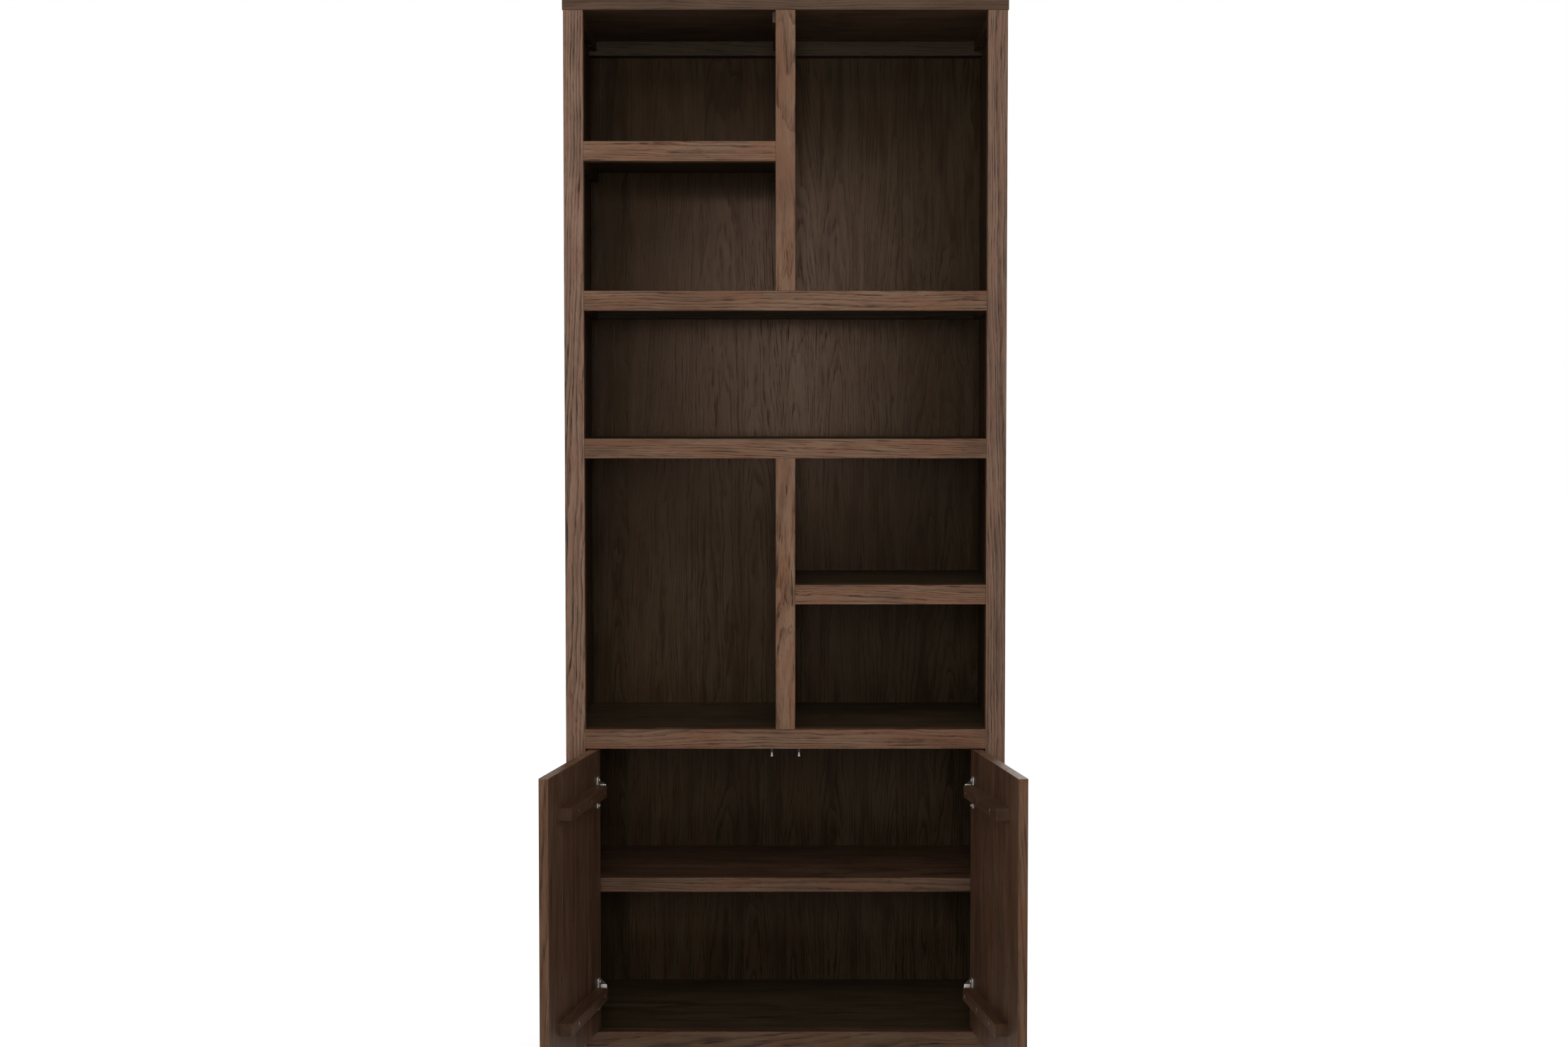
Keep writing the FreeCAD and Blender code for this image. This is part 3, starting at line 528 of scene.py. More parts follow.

# %% [markdown]
# ## An oak board's material
# Each board is cut from the log at a place of its own, so that no two have the same figure. One material on
# all of them would be less work, and it would look like a printed foil that runs on from board to board.
# The function below makes a material for one board from a grain direction and a seed, and takes what sets
# the board apart: where its pith lay, its tone, how strongly the rings show, how it shines. Sawn edges took
# the stain differently, and a plane across the board, with a factor on the tone beyond it, finds them. The
# same plane and factor also put painted light on the level tops of the door planks.
# Patterns read Object coordinates, which stay with a piece when it moves.

# %% Which way the grain runs
ALONG_X = Vector((1.0, 0.0, 0.0))
ALONG_Y = Vector((0.0, 1.0, 0.0))
ALONG_Z = Vector((0.0, 0.0, 1.0))
QUARTER_TURN = math.radians(90.0)


def grain_turn(direction):
    """Rotation for a Mapping node that brings a level or upright grain direction onto Z."""
    upright = abs(direction.z) > 0.5
    return (0.0, 0.0, 0.0) if upright else (QUARTER_TURN, math.atan2(-direction.x, direction.y), 0.0)


print("grain along X turns by", [round(math.degrees(angle)) for angle in grain_turn(ALONG_X)], "degrees")

# %% What every finish starts from
def new_finish(name):
    """Material with its node tree, its shader and its Object coordinates."""
    material = bpy.data.materials.new(name)
    material.use_nodes = True
    tree = material.node_tree
    position = add_node(tree, "ShaderNodeTexCoord").outputs["Object"]
    return material, tree, tree.nodes["Principled BSDF"], position


def relief(tree, shader, height, strength, depth):
    """Fine surface that catches the light, with its depth in metres."""
    bump = add_node(tree, "ShaderNodeBump", Strength=strength, Distance=depth, Height=height)
    tree.links.new(bump.outputs["Normal"], shader.inputs["Normal"])


def group_node(tree, group, **values):
    """Node group placed in a material, with its named inputs fed."""
    node = tree.nodes.new("ShaderNodeGroup")
    node.node_tree = group
    for title, value in values.items():
        feed(tree, node.inputs[title.replace("_", " ")], value)
    return node


print("finish helpers ready:", new_finish.__name__, relief.__name__, group_node.__name__)

# %% One oak material
WARM_SHEEN = (1.0, 0.78, 0.62)
BRUSH_DEPTH = 0.0006            # metres, from ridge to pore
STAIN_ROUGHNESS = 0.2           # how much rougher a pore is than the ridges


def edges_toned(tree, position, tone, edge_tones_and_painted_light):
    """Tone with a factor of its own beyond each plane: a sawn edge's stain, or painted light on a plank's
    top.
    """
    for facing, distance, factor in edge_tones_and_painted_light:
        beyond = maths(tree, "GREATER_THAN", vector_maths(tree, "DOT_PRODUCT", position, facing), distance)
        tone = maths(tree, "MULTIPLY", maths(tree, "MULTIPLY_ADD", beyond, factor - 1.0, 1.0), tone)
    return tone


def oak(name, direction, seed, pith=(0.0, 0.09, 0.0), tilt=0.2, ring=0.0042, tone=1.0, contrast=0.8,
        bump=0.25, redness=0.6, tint=NO_TINT, sheen=WARM_SHEEN, shine=0.30, roughness=0.50, leaf=None,
        edge_tones_and_painted_light=()):
    """Smoked oak whose grain runs along a direction. Every board has a seed, and so a figure, of its own.

    A panel glued up from leaves gives leaf as (leaf width, place of a joint). Each entry of the edge tones
    is a sawn or planed edge, with a plane and a factor on the tone beyond it: (direction it faces, how far
    out it lies, factor on the tone). Most factors are how an edge took the stain; on the tops of the door
    planks the factor is painted light."""
    material, tree, shader, position = new_finish(name)
    place = add_node(tree, "ShaderNodeMapping", Vector=position, Rotation=grain_turn(direction)).outputs[0]
    if leaf:
        leaves = group_node(tree, GLUED_LEAVES, Vector=place, Leaf_Width=leaf[0], Start=leaf[1], Seed=seed)
        place = leaves.outputs["Vector"]
        seed = leaves.outputs["Seed"]
        tone = maths(tree, "MULTIPLY", leaves.outputs["Tone"], tone)
    # Edge tones, painted light on the door planks' tops among them.
    tone = edges_toned(tree, position, tone, edge_tones_and_painted_light)
    log = group_node(tree, OAK_LOG, Vector=place, Pith=pith, Tilt=tilt, Ring_Width=ring, Seed=seed).outputs
    said = {title: log[title] for title in LOG_VALUES}
    if leaf:
        said["Warmth"] = maths(tree, "ADD", log["Warmth"], leaves.outputs["Warmer"])
    finish = group_node(tree, SMOKED_FINISH, Tone=tone, Contrast=contrast, Redness=redness, Tint=tint,
                        **said)
    rough = maths(tree, "MULTIPLY_ADD", finish.outputs["Dark"], STAIN_ROUGHNESS, roughness)
    tree.links.new(finish.outputs["Color"], shader.inputs["Base Color"])
    tree.links.new(rough, shader.inputs["Roughness"])
    shader.inputs["Specular IOR Level"].default_value = shine
    shader.inputs["Specular Tint"].default_value = (*sheen, 1.0)
    relief(tree, shader, finish.outputs["Height"], bump, BRUSH_DEPTH)
    return material


print("sawn and brushed", BRUSH_DEPTH * 1000.0, "mm deep")

# %% [markdown]
# ## Boards whose grain runs across the bookcase
# Shelves, cabinet top and bottom board are thin veneered boards behind a solid lipping. The lippings are
# pale where hands reach them, and no two took the smoke alike, but the bottom board's lipping is darkened
# as painted shade, for the little light that reaches the foot. The boards behind them are a little greener,
# and darker as painted shade, since light hardly reaches them. The top board is darkened as painted shade
# too, and the rails against the back are darker still, as painted shade at the top of each niche. Each could
# get its own hand-made material, but they differ only in a few numbers, so a table of tones and a loop dress
# them, with a new seed at each step.

# %% Dress the lippings of the level boards
LEVEL_CUT = {"pith": (0.07, 0.03, 0.0), "tilt": 0.5, "ring": 0.0065}    # how level boards lay in the log
SEED_STEP = 0.37
LIPPING_TONE = 1.02
# Painted shade: the bottom board's lipping takes 0.52, for the little light low down at the foot.
LEVEL_LIPPINGS = {"upper_left_shelf_lipping": 1.04, "second_shelf_lipping": 0.92,
                  "third_shelf_lipping": 0.92, "lower_right_shelf_lipping": 1.01,
                  "cabinet_top_lipping": 0.92, "bottom_board_lipping": 0.52}


def dress(node, material):
    """Give a CAD node a material in place of its own."""
    mesh = nodes[node].data
    mesh.materials.clear()
    mesh.materials.append(material)


for number, (node, tone) in enumerate(LEVEL_LIPPINGS.items(), start=1):
    dress(node, oak("oak_" + node, ALONG_X, number * SEED_STEP, tone=LIPPING_TONE * tone, contrast=1.25,
                    **LEVEL_CUT))
print("dressed", len(LEVEL_LIPPINGS), "level lippings")

# %% Dress the level boards behind them
OLIVE = (0.95, 1.16, 1.04)      # thin boards took the smoke a little greener than solid edges
# Painted shade: boards, dividers and hinge blocks that light hardly reaches get this low tone.
PAINTED_SHADE_TONE = 0.33                # tone of a board that light hardly reaches
# Painted shade also sets the top board's 0.43 and the back rails' 0.18 and 0.15, under the boards above.
LEVEL_BOARDS = {"top_board": 0.43, "upper_left_shelf": PAINTED_SHADE_TONE, "second_shelf": PAINTED_SHADE_TONE,
                "third_shelf": PAINTED_SHADE_TONE, "lower_right_shelf": PAINTED_SHADE_TONE, "cabinet_top": PAINTED_SHADE_TONE,
                "bottom_board": PAINTED_SHADE_TONE, "top_back_rails": 0.18, "shelf_back_rails": 0.15,
                "front_plinth": 0.42, "back_plinth": 0.42}
BOARD_SHINE = 0.30
RAIL_SHINES = {"top_back_rails": 0.20, "shelf_back_rails": 0.12}
FIRST_BOARD = 9                 # the seeds go on after those of the lippings

for number, (node, tone) in enumerate(LEVEL_BOARDS.items(), start=FIRST_BOARD):
    shine = RAIL_SHINES.get(node, BOARD_SHINE)
    tint = NO_TINT if node == "top_board" else OLIVE
    dress(node, oak("oak_" + node, ALONG_X, number * SEED_STEP, tone=tone, redness=0.3, shine=shine,
                    tint=tint, **LEVEL_CUT))
print("dressed", len(LEVEL_BOARDS), "level boards")

# %% Dress the inner shelf of the cabinet
INNER_SHELF_SEED = 8.1
INNER_SHELF_FRONT = 0.1455      # its front edge faces -Y, this far from the middle
FRONT_EDGE_TONE = 1.35          # that edge is solid wood, and paler

front_edge = (-ALONG_Y, INNER_SHELF_FRONT, FRONT_EDGE_TONE)
dress("inner_shelf", oak("oak_inner_shelf", ALONG_X, INNER_SHELF_SEED, tone=0.50, contrast=1.1,
                         edge_tones_and_painted_light=[front_edge], **LEVEL_CUT))
print("inner shelf with a front edge", FRONT_EDGE_TONE, "times as pale")

# %% [markdown]
# ## Boards whose grain runs upwards
# Side panels and dividers stand behind upright lippings. The side lippings are the outermost edges. They
# catch the most light and dust, so they look greyer, with a plain sheen in place of the warm one. The
# others keep their warm brown. The same function dresses them, with the grain turned upwards and the pith
# on another side.

# %% Dress the side lippings
UPRIGHT_CUT = {"pith": (0.03, 0.08, 0.0), "tilt": 0.25, "ring": 0.0065}
PLAIN_SHEEN = (1.0, 0.98, 0.95)
SIDE_LIPPINGS = {"left_side_lipping": 1.17, "right_side_lipping": 1.01}
SIDE_LIPPING_SEED = 20.0

for number, (node, tone) in enumerate(SIDE_LIPPINGS.items()):
    seed = SIDE_LIPPING_SEED + number * SEED_STEP
    dress(node, oak("oak_" + node, ALONG_Z, seed, tone=LIPPING_TONE * tone, contrast=1.4, redness=0.4,
                    sheen=PLAIN_SHEEN, **UPRIGHT_CUT))
print("dressed", len(SIDE_LIPPINGS), "side lippings")

# %% Dress the side panels, the dividers and the hinge blocks
# Painted shade: the side panels' 0.34, and the low tone of dividers and hinge blocks, stand for niche shade.
UPRIGHTS = {"left_side_panel": 0.34, "right_side_panel": 0.34, "upper_divider": PAINTED_SHADE_TONE,
            "upper_divider_lipping": 0.98, "lower_divider": PAINTED_SHADE_TONE, "lower_divider_lipping": 1.15,
            "hinge_blocks": PAINTED_SHADE_TONE}
UPRIGHT_SEED = 22.0

for number, (node, tone) in enumerate(UPRIGHTS.items()):
    contrast = 1.2 if node.endswith("lipping") else 1.0
    tint = OLIVE if node.endswith("divider") else NO_TINT
    dress(node, oak("oak_" + node, ALONG_Z, UPRIGHT_SEED + number * SEED_STEP, tone=tone, contrast=contrast,
                    tint=tint, **UPRIGHT_CUT))
print("dressed", len(UPRIGHTS), "uprights")

# %% [markdown]
# ## The back panel
# The back closes the bookcase behind, with the grain of its leaves upwards. It is smoother than the boards,
# so the light from straight in front comes back from its middle as a soft warm glow, and its ends stay
# dark. That glow could be painted on as a paler patch, but then it would stay when the lamps move. Here it
# is a real reflection: a low roughness makes it, and a low specular level and a warm tint keep it faint and
# brown.

# %% Dress the back panel
BACK_SEED = 31.0
BACK_CUT = {"pith": (0.0, 0.255, 0.0), "tilt": 0.08, "ring": 0.0046}
BACK_GLOW = {"shine": 0.062, "roughness": 0.16, "sheen": (1.0, 0.64, 0.47), "bump": 0.10}
FIRST_JOINT = -0.0085           # place of one glue line, from which the others follow

dress("back_panel", oak("oak_back_panel", ALONG_Z, BACK_SEED, tone=0.27, contrast=0.9, redness=0.45,
                        tint=OLIVE, leaf=(LEAF_WIDTH, FIRST_JOINT), **BACK_CUT, **BACK_GLOW))
print("back panel in leaves of", LEAF_WIDTH, "m")

# %% [markdown]
# ## The cleats
# Cleats are small battens under the boards, screwed to the sides, and they run from front to back. So does
# the rail that stiffens the plinth. They hardly show, but where one does, its grain must run its own way.

# %% Dress the cleats and the plinth's middle rail
CLEATS = ("top_cleats", "shelf_cleats", "middle_plinth_rail")
CLEAT_SEED = 40.0

for number, node in enumerate(CLEATS):
    dress(node, oak("oak_" + node, ALONG_Y, CLEAT_SEED + number * SEED_STEP, tone=0.40))
print("dressed", len(CLEATS), "sets of cleats and rails")

# %% [markdown]
# ## The doors
# Each door is four upright planks held by two level battens on the inside, and stands open at rest. The
# planks' free edge is paler than the faces, because that planed edge took the stain in its own way, and the
# battens' free ends are darker. The planks' level tops are much paler, and that is painted light, for the
# light from above on them. A second material on those faces would need the mesh split. Instead, each edge
# is given as a plane that faces out along the open door, and the tone changes beyond it. The planes turn
# with the mesh, as all Object coordinates do, so they hold at every angle.

# %% Where the edges of an open door lie
DOORS = {                       # which way a shut door reaches, and the degrees that it stands open
    "left": (1.0, 99.5),
    "right": (-1.0, 98.25)}
PIN_X = 0.393                   # hinge pins, metres to the left and right of the middle
PIN_Y = -0.215
DOOR_TOP = 0.6550               # the planks end just above this
FREE_REACH = 0.3910             # from the pin to just short of a door's free edge
BATTEN_REACH = 0.3190           # and to just short of a batten's free end
# Painted light: the planks' level tops are made this much paler for the light from above.
PAINTED_TOP_LIGHT = 1.9
FREE_EDGE_TONE = 1.25
BATTEN_END_TONE = 0.6


def along_open_door(side):
    """Direction from a door's pin to its free edge, and how far out along it the pin lies."""
    way, opened = DOORS[side]
    turn = math.radians(opened)
    direction = Vector((way * math.cos(turn), -math.sin(turn), 0.0))
    return direction, direction.dot(Vector((-way * PIN_X, PIN_Y, 0.0)))


for side in DOORS:
    print(side, "door reaches along", [round(value, 3) for value in along_open_door(side)[0]])

# %% Dress the planks and battens
DOOR_SHEEN = (1.0, 0.66, 0.42)
PLANKS = (1, 2, 3, 4)
PLANK_SEED = 50.0
BATTEN_SEED = 60.0
BATTEN_PITH = (0.05, 0.06, 0.0)

for side in DOORS:
    along_door, at_pin = along_open_door(side)
    # The planks' tops get painted light, and the door's free edge its own paler stain.
    painted_top_light_and_free_edge = [(ALONG_Z, DOOR_TOP, PAINTED_TOP_LIGHT), (along_door, at_pin + FREE_REACH, FREE_EDGE_TONE)]
    batten_end = (along_door, at_pin + BATTEN_REACH, BATTEN_END_TONE)
    for number in PLANKS:
        node = "%s_door_plank_%d" % (side, number)
        dress(node, oak("oak_" + node, ALONG_Z, PLANK_SEED + number * SEED_STEP + len(side), ring=0.006,
                        tone=0.64, bump=0.15, sheen=DOOR_SHEEN, edge_tones_and_painted_light=painted_top_light_and_free_edge))
    for node in (side + "_door_upper_batten", side + "_door_lower_batten"):
        dress(node, oak("oak_" + node, along_door, BATTEN_SEED + len(node) * SEED_STEP, pith=BATTEN_PITH,
                        tone=0.55, contrast=0.6, sheen=DOOR_SHEEN, edge_tones_and_painted_light=[batten_end]))
print("dressed", len(DOORS), "doors of", len(PLANKS), "planks")

# %% [markdown]
# ## Metals, plastic and dowels
# Hinges are nickel plated, screws zinc plated, pins bright steel, and the collars and glides black nylon.
# Plated steel isn't a mirror: handling leaves smudges that blur it more in one place than in the next, so a
# noise drives the roughness. Moulded nylon takes the fine grain of its mould, so there a much finer noise
# drives both roughness and bump. The dowels sit inside the joints, out of sight, and get a plain length of
# the oak.

# %% Plated steel
SMUDGE_NOISE = (260.0, 3.0, 0.6)    # scale, detail and roughness
SMUDGE_STEP = (0.35, 0.7)
SMUDGE_LESS = 0.08              # how far the roughness goes below and above its own value
SMUDGE_MORE = 0.12


def metal(name, colour, roughness):
    """Plated steel with a faint uneven sheen."""
    material, tree, shader, position = new_finish(name)
    shader.inputs["Base Color"].default_value = (*colour, 1.0)
    shader.inputs["Metallic"].default_value = 1.0
    smudge = noise(tree, position, *SMUDGE_NOISE)
    uneven = remap(tree, smudge, *SMUDGE_STEP, roughness - SMUDGE_LESS, roughness + SMUDGE_MORE)
    tree.links.new(uneven, shader.inputs["Roughness"])
    return material


zinc = metal("zinc_plate", (0.62, 0.58, 0.53), 0.40)
bright_steel = metal("bright_steel", (0.50, 0.48, 0.46), 0.45)
nickel = metal("nickel_plate", (0.52, 0.48, 0.44), 0.55)
print("metals", [material.name for material in (zinc, bright_steel, nickel)])

# %% Moulded plastic
GRAIN_NOISE = (2600.0, 2.0, 0.6)
GRAIN_STEP = (0.3, 0.7)
NYLON_ROUGHNESS = (0.42, 0.62)
GRAIN_STRENGTH = 0.3
GRAIN_DEPTH = 0.0002            # metres


def nylon(name, colour):
    """Moulded plastic with a fine spark-eroded grain."""
    material, tree, shader, position = new_finish(name)
    shader.inputs["Base Color"].default_value = (*colour, 1.0)
    grain = noise(tree, position, *GRAIN_NOISE)
    tree.links.new(remap(tree, grain, *GRAIN_STEP, *NYLON_ROUGHNESS), shader.inputs["Roughness"])
    relief(tree, shader, grain, GRAIN_STRENGTH, GRAIN_DEPTH)
    return material


black_nylon = nylon("black_nylon", (0.012, 0.012, 0.012))
print("plastic", black_nylon.name)

# %% Dress the screws, pins, glides and dowels
DOWEL_SEED = 77.0
FITTINGS = {"cleat_screws": zinc, "back_panel_screws": zinc, "hinge_screws": zinc, "left_door_screws": zinc,
            "right_door_screws": zinc, "left_hinge_pins": bright_steel, "right_hinge_pins": bright_steel,
            "shelf_pins": bright_steel, "glides": black_nylon}

for node, material in FITTINGS.items():
    dress(node, material)
dress("dowels", oak("plain_beech", ALONG_X, DOWEL_SEED))
print("dressed", len(FITTINGS), "sets of fittings and the dowels")

# %% [markdown]
# ## Modelling by hand
# The rest of the notebook models small metal pieces as one would with the mouse. A piece starts as a box or
# a cylinder at its real size and place. Faces, edges or corners are then picked and shaped in edit mode,
# and modifiers round the edges or cut a hole. With no mouse to pick with, a test on place and direction
# picks. Sizes are in millimetres, as on a workshop drawing, and each finished piece keeps its object at the
# origin.

# %% Start from a box or a cylinder
MM = 0.001
ROUND_SIDES = 32
ALIGNED = 0.9                   # share of a normal or edge along an axis, past which it counts as along it


def box(low, high):
    """Box between two corners in millimetres, with its object left at the origin."""
    low = Vector(low) * MM
    high = Vector(high) * MM
    bpy.ops.mesh.primitive_cube_add(size=1.0, location=(low + high) / 2, scale=high - low)
    bpy.ops.object.transform_apply(location=True, rotation=True, scale=True)
    return bpy.context.object


def cylinder(foot, axis, radius, length, sides=ROUND_SIDES):
    """Cylinder from its foot along an axis, in millimetres, with its object left at the origin."""
    foot = Vector(foot) * MM
    axis = Vector(axis)
    bpy.ops.mesh.primitive_cylinder_add(vertices=sides, radius=radius * MM, depth=length * MM,
                                        location=foot + axis * length * MM / 2,
                                        rotation=axis.to_track_quat("Z", "Y").to_euler())
    bpy.ops.object.transform_apply(location=True, rotation=True, scale=True)
    return bpy.context.object


print("starting shapes:", box.__name__, cylinder.__name__)

# %% Pick parts of a mesh and shape them
def work_on(piece, kind, chosen, *steps):
    """Select the faces, edges or vertices that a test picks by place and normal, and run steps on them."""
    bpy.context.view_layer.objects.active = piece
    bpy.ops.object.mode_set(mode="EDIT")
    bpy.ops.mesh.select_mode(type=kind)
    bpy.ops.mesh.select_all(action="DESELECT")
    bpy.ops.object.mode_set(mode="OBJECT")
    mesh = piece.data
    for part in {"FACE": mesh.polygons, "EDGE": mesh.edges, "VERT": mesh.vertices}[kind]:
        corners = [part.co] if kind == "VERT" else [mesh.vertices[index].co for index in part.vertices]
        middle = sum(corners, Vector()) / len(corners) / MM
        facing = part.normal if kind == "FACE" else corners[-1] - corners[0]
        part.select = chosen(middle, facing)
    bpy.ops.object.mode_set(mode="EDIT")
    for operator, settings in steps:
        operator(**settings)
    bpy.ops.object.mode_set(mode="OBJECT")
    return piece


def inset(width):
    """Step that draws a smaller face inside each picked one, a width in from its edges."""
    return bpy.ops.mesh.inset, {"thickness": width * MM}


def push(direction, length):
    """Step that extrudes the picked faces along a direction."""
    move = {"value": Vector(direction) * length * MM}
    return bpy.ops.mesh.extrude_region_move, {"TRANSFORM_OT_translate": move}


def slide(direction, length):
    """Step that moves what is picked along a direction."""
    return bpy.ops.transform.translate, {"value": Vector(direction) * length * MM}


def bevel(width, segments):
    """Step that rounds the picked edges."""
    return bpy.ops.mesh.bevel, {"offset": width * MM, "segments": segments}


print("steps:", [step.__name__ for step in (inset, push, slide, bevel)])

# %% Finish with modifiers
SHARP_ANGLE = 30.0              # degrees, past which an edge is rounded
FINE = 2                        # segments of a rounding too small to need more


def alone(piece):
    """Select one piece and nothing else."""
    bpy.ops.object.select_all(action="DESELECT")
    piece.select_set(True)
    bpy.context.view_layer.objects.active = piece


def apply_modifier(piece, kind, **settings):
    """Put a modifier on a piece and apply it at once."""
    modifier = piece.modifiers.new(kind.lower(), kind)
    for title, value in settings.items():
        setattr(modifier, title, value)
    alone(piece)
    bpy.ops.object.modifier_apply(modifier=modifier.name)


def rounded(piece, width, segments=3):
    """Round all sharp edges by a width in millimetres."""
    apply_modifier(piece, "BEVEL", width=width * MM, segments=segments, limit_method="ANGLE",
                   angle_limit=math.radians(SHARP_ANGLE))
    return piece


def cut(piece, cutter):
    """Cut one object out of another."""
    apply_modifier(piece, "BOOLEAN", operation="DIFFERENCE", object=cutter, solver="EXACT")
    bpy.data.objects.remove(cutter)
    return piece


print("edges sharper than", SHARP_ANGLE, "degrees get rounded")

# %% Join, settle and copy
SMOOTH_ANGLE = 35.0             # degrees, up to which two faces are shaded as one


def joined(pieces):
    """Several pieces as one object."""
    alone(pieces[0])
    for piece in pieces:
        piece.select_set(True)
    bpy.ops.object.join()
    return bpy.context.object


def settled(piece, name, material):
    """Give a modelled piece its name, material and smooth round faces."""
    piece.name = name
    piece.data.name = name
    piece.data.materials.clear()
    piece.data.materials.append(material)
    alone(piece)
    bpy.ops.object.shade_smooth_by_angle(angle=math.radians(SMOOTH_ANGLE))
    return piece


def placed_copy(source, name, matrix):
    """Copy with its own mesh, moved by a matrix. A mirrored copy has its faces turned right way out."""
    copy = source.copy()
    copy.data = source.data.copy()
    copy.name = name
    copy.data.name = name
    copy.data.transform(matrix)
    if matrix.determinant() < 0:
        copy.data.flip_normals()
    bpy.context.collection.objects.link(copy)
    return copy


print("faces within", SMOOTH_ANGLE, "degrees are shaded as one")

# %% [markdown]
# ## A cup hinge
# A cup hinge is pressed from sheet: the cup is drawn out of a flange with rounded ends, and the arm is a
# channel with raised edges, clipped over a plate with two wings. One hinge is modelled, at the left door,
# and the other three are copies of its mesh, lifted or mirrored. All its parts measure from the pin that
# the door turns on, so the driving sizes come first. X runs from the side of the bookcase inwards, Y from
# the front to the back, and Z is counted from the middle of the hinge.

# %% Driving sizes of a hinge, in millimetres
PIN = Vector((-393.0, -215.0, 0.0))
PLATE_FOOT_X = -410.0
PLATE_TOP_X = -400.0
CUP_MIDDLE_X = -385.5
DOOR_INSIDE_Y = -206.0          # inner face of the shut door
FLANGE_MIDDLE_X = -380.0
FLANGE_TOP_Y = -202.4
HINGE_HEIGHTS = {"low": 152.0, "high": 569.0}
SHEET = 1.2                     # thickness of the pressed sheet
print("cup", CUP_MIDDLE_X - PIN.x, "mm from the pin, plate", PLATE_TOP_X - PLATE_FOOT_X, "mm thick")

# %% [markdown]
# ## The arm
# The arm reaches from the plate forward to the pin. It could be built up from separate walls, but pressed
# sheet has none: it is one skin. So a box has its foot lifted at the front, its tail drawn in and brought
# down to the plate, and its long upper face sunk between raised edges by an inset and a push. A neck and a
# link carry it on to a barrel round the pin, and two cross screws hold and adjust it.

# %% Shape the arm's channel
ARM_FRONT_Y = -198.0
ARM_TAIL_Y = -125.0
ARM_TOP_X = -367.0
ARM_HALF = 12.0
TOWARDS_SIDE = (-1, 0, 0)
TOWARDS_MIDDLE = (1, 0, 0)
UP = (0, 0, 1)
DOWN = (0, 0, -1)
FRONT_ENDS_Y = -197.0           # corners in front of this are at the front, behind the next at the tail
TAIL_STARTS_Y = -130.0
TOP_STARTS_X = -370.0           # corners past this are on the upper face, before the next on the foot
FOOT_ENDS_X = -399.0
TAIL_DROP = 22.5
FRONT_DROP = 3.0
FOOT_LIFT = 14.0
TAIL_NARROWING = 3.6
SLOPED = 0.8                    # share of its normal along X by which the upper face is told
CHANNEL_EDGE = 2.4
CHANNEL_DEPTH = 1.1
INTO_CHANNEL = (-0.95, -0.3, 0.0)

body = box((PLATE_TOP_X, ARM_FRONT_Y, -ARM_HALF), (ARM_TOP_X, ARM_TAIL_Y, ARM_HALF))
work_on(body, "VERT", lambda place, facing: place.x > TOP_STARTS_X and place.y > TAIL_STARTS_Y,
        slide(TOWARDS_SIDE, TAIL_DROP))
work_on(body, "VERT", lambda place, facing: place.x > TOP_STARTS_X and place.y < FRONT_ENDS_Y,
        slide(TOWARDS_SIDE, FRONT_DROP))
work_on(body, "VERT", lambda place, facing: place.x < FOOT_ENDS_X and place.y < FRONT_ENDS_Y,
        slide(TOWARDS_MIDDLE, FOOT_LIFT))
work_on(body, "VERT", lambda place, facing: place.z > 0 and place.y > TAIL_STARTS_Y,
        slide(DOWN, TAIL_NARROWING))
work_on(body, "VERT", lambda place, facing: place.z < 0 and place.y > TAIL_STARTS_Y,
        slide(UP, TAIL_NARROWING))
work_on(body, "FACE", lambda place, facing: facing.x > SLOPED, inset(CHANNEL_EDGE),
        push(INTO_CHANNEL, CHANNEL_DEPTH))
rounded(body, 0.8)
print("arm", ARM_TAIL_Y - ARM_FRONT_Y, "mm long, with", len(body.data.polygons), "faces")

# %% Carry the arm on to the pin
LINK_HALF = 5.9                 # half the height of neck, link and barrel
BARREL_RADIUS = 3.0
PIN_BORE = 1.55                 # radius
SADDLE = ((PLATE_TOP_X, -186.0, -8.0), (-391.0, ARM_TAIL_Y, 8.0))   # low corner and high corner
NECK = ((-378.5, -213.0, -LINK_HALF), (-371.2, -195.0, LINK_HALF))
LINK = ((-392.0, -218.0, -LINK_HALF), (-372.0, -212.2, LINK_HALF))
LINK_ROUNDING = 0.9
BORE_HALF = 8.0                 # half the length of the cutter for the bore

saddle = rounded(box(*SADDLE), 0.6)
neck = rounded(box(*NECK), LINK_ROUNDING)
link = rounded(box(*LINK), LINK_ROUNDING)
barrel = cylinder((PIN.x, PIN.y, -LINK_HALF), ALONG_Z, BARREL_RADIUS, 2 * LINK_HALF)
cut(barrel, cylinder((PIN.x, PIN.y, -BORE_HALF), ALONG_Z, PIN_BORE, 2 * BORE_HALF))
print("barrel", 2 * LINK_HALF, "mm high, bored", 2 * PIN_BORE, "mm")

# %% Cut a cross into a screw's head
CROSS_WIDTH = 0.6
CROSS_REACH = 1.35              # length of the cross, as a share of the head's radius
CROSS_DEPTH = 0.7
CUTTER_HEIGHT = 2.0
HEAD_SIDES = 24
HEAD_SEGMENTS = 4


def cross_screw(middle, facing, radius, height=1.5, rounding=0.5):
    """Head of a screw: a low dome with a cross cut into it."""
    head = rounded(cylinder(middle, facing, radius, height, HEAD_SIDES), rounding, HEAD_SEGMENTS)
    across = facing.cross(ALONG_Z)
    turn = Matrix((across, ALONG_Z, facing)).transposed().to_4x4()
    floor_of_cross = Vector(middle) + facing * (height - CROSS_DEPTH)
    for wide, tall in ((CROSS_REACH * radius, CROSS_WIDTH), (CROSS_WIDTH, CROSS_REACH * radius)):
        cross = box((-wide / 2, -tall / 2, 0.0), (wide / 2, tall / 2, CUTTER_HEIGHT))
        cross.data.transform(Matrix.Translation(floor_of_cross * MM) @ turn)
        cut(head, cross)
    return head


print("cross", CROSS_WIDTH, "mm wide and", CROSS_DEPTH, "mm deep")

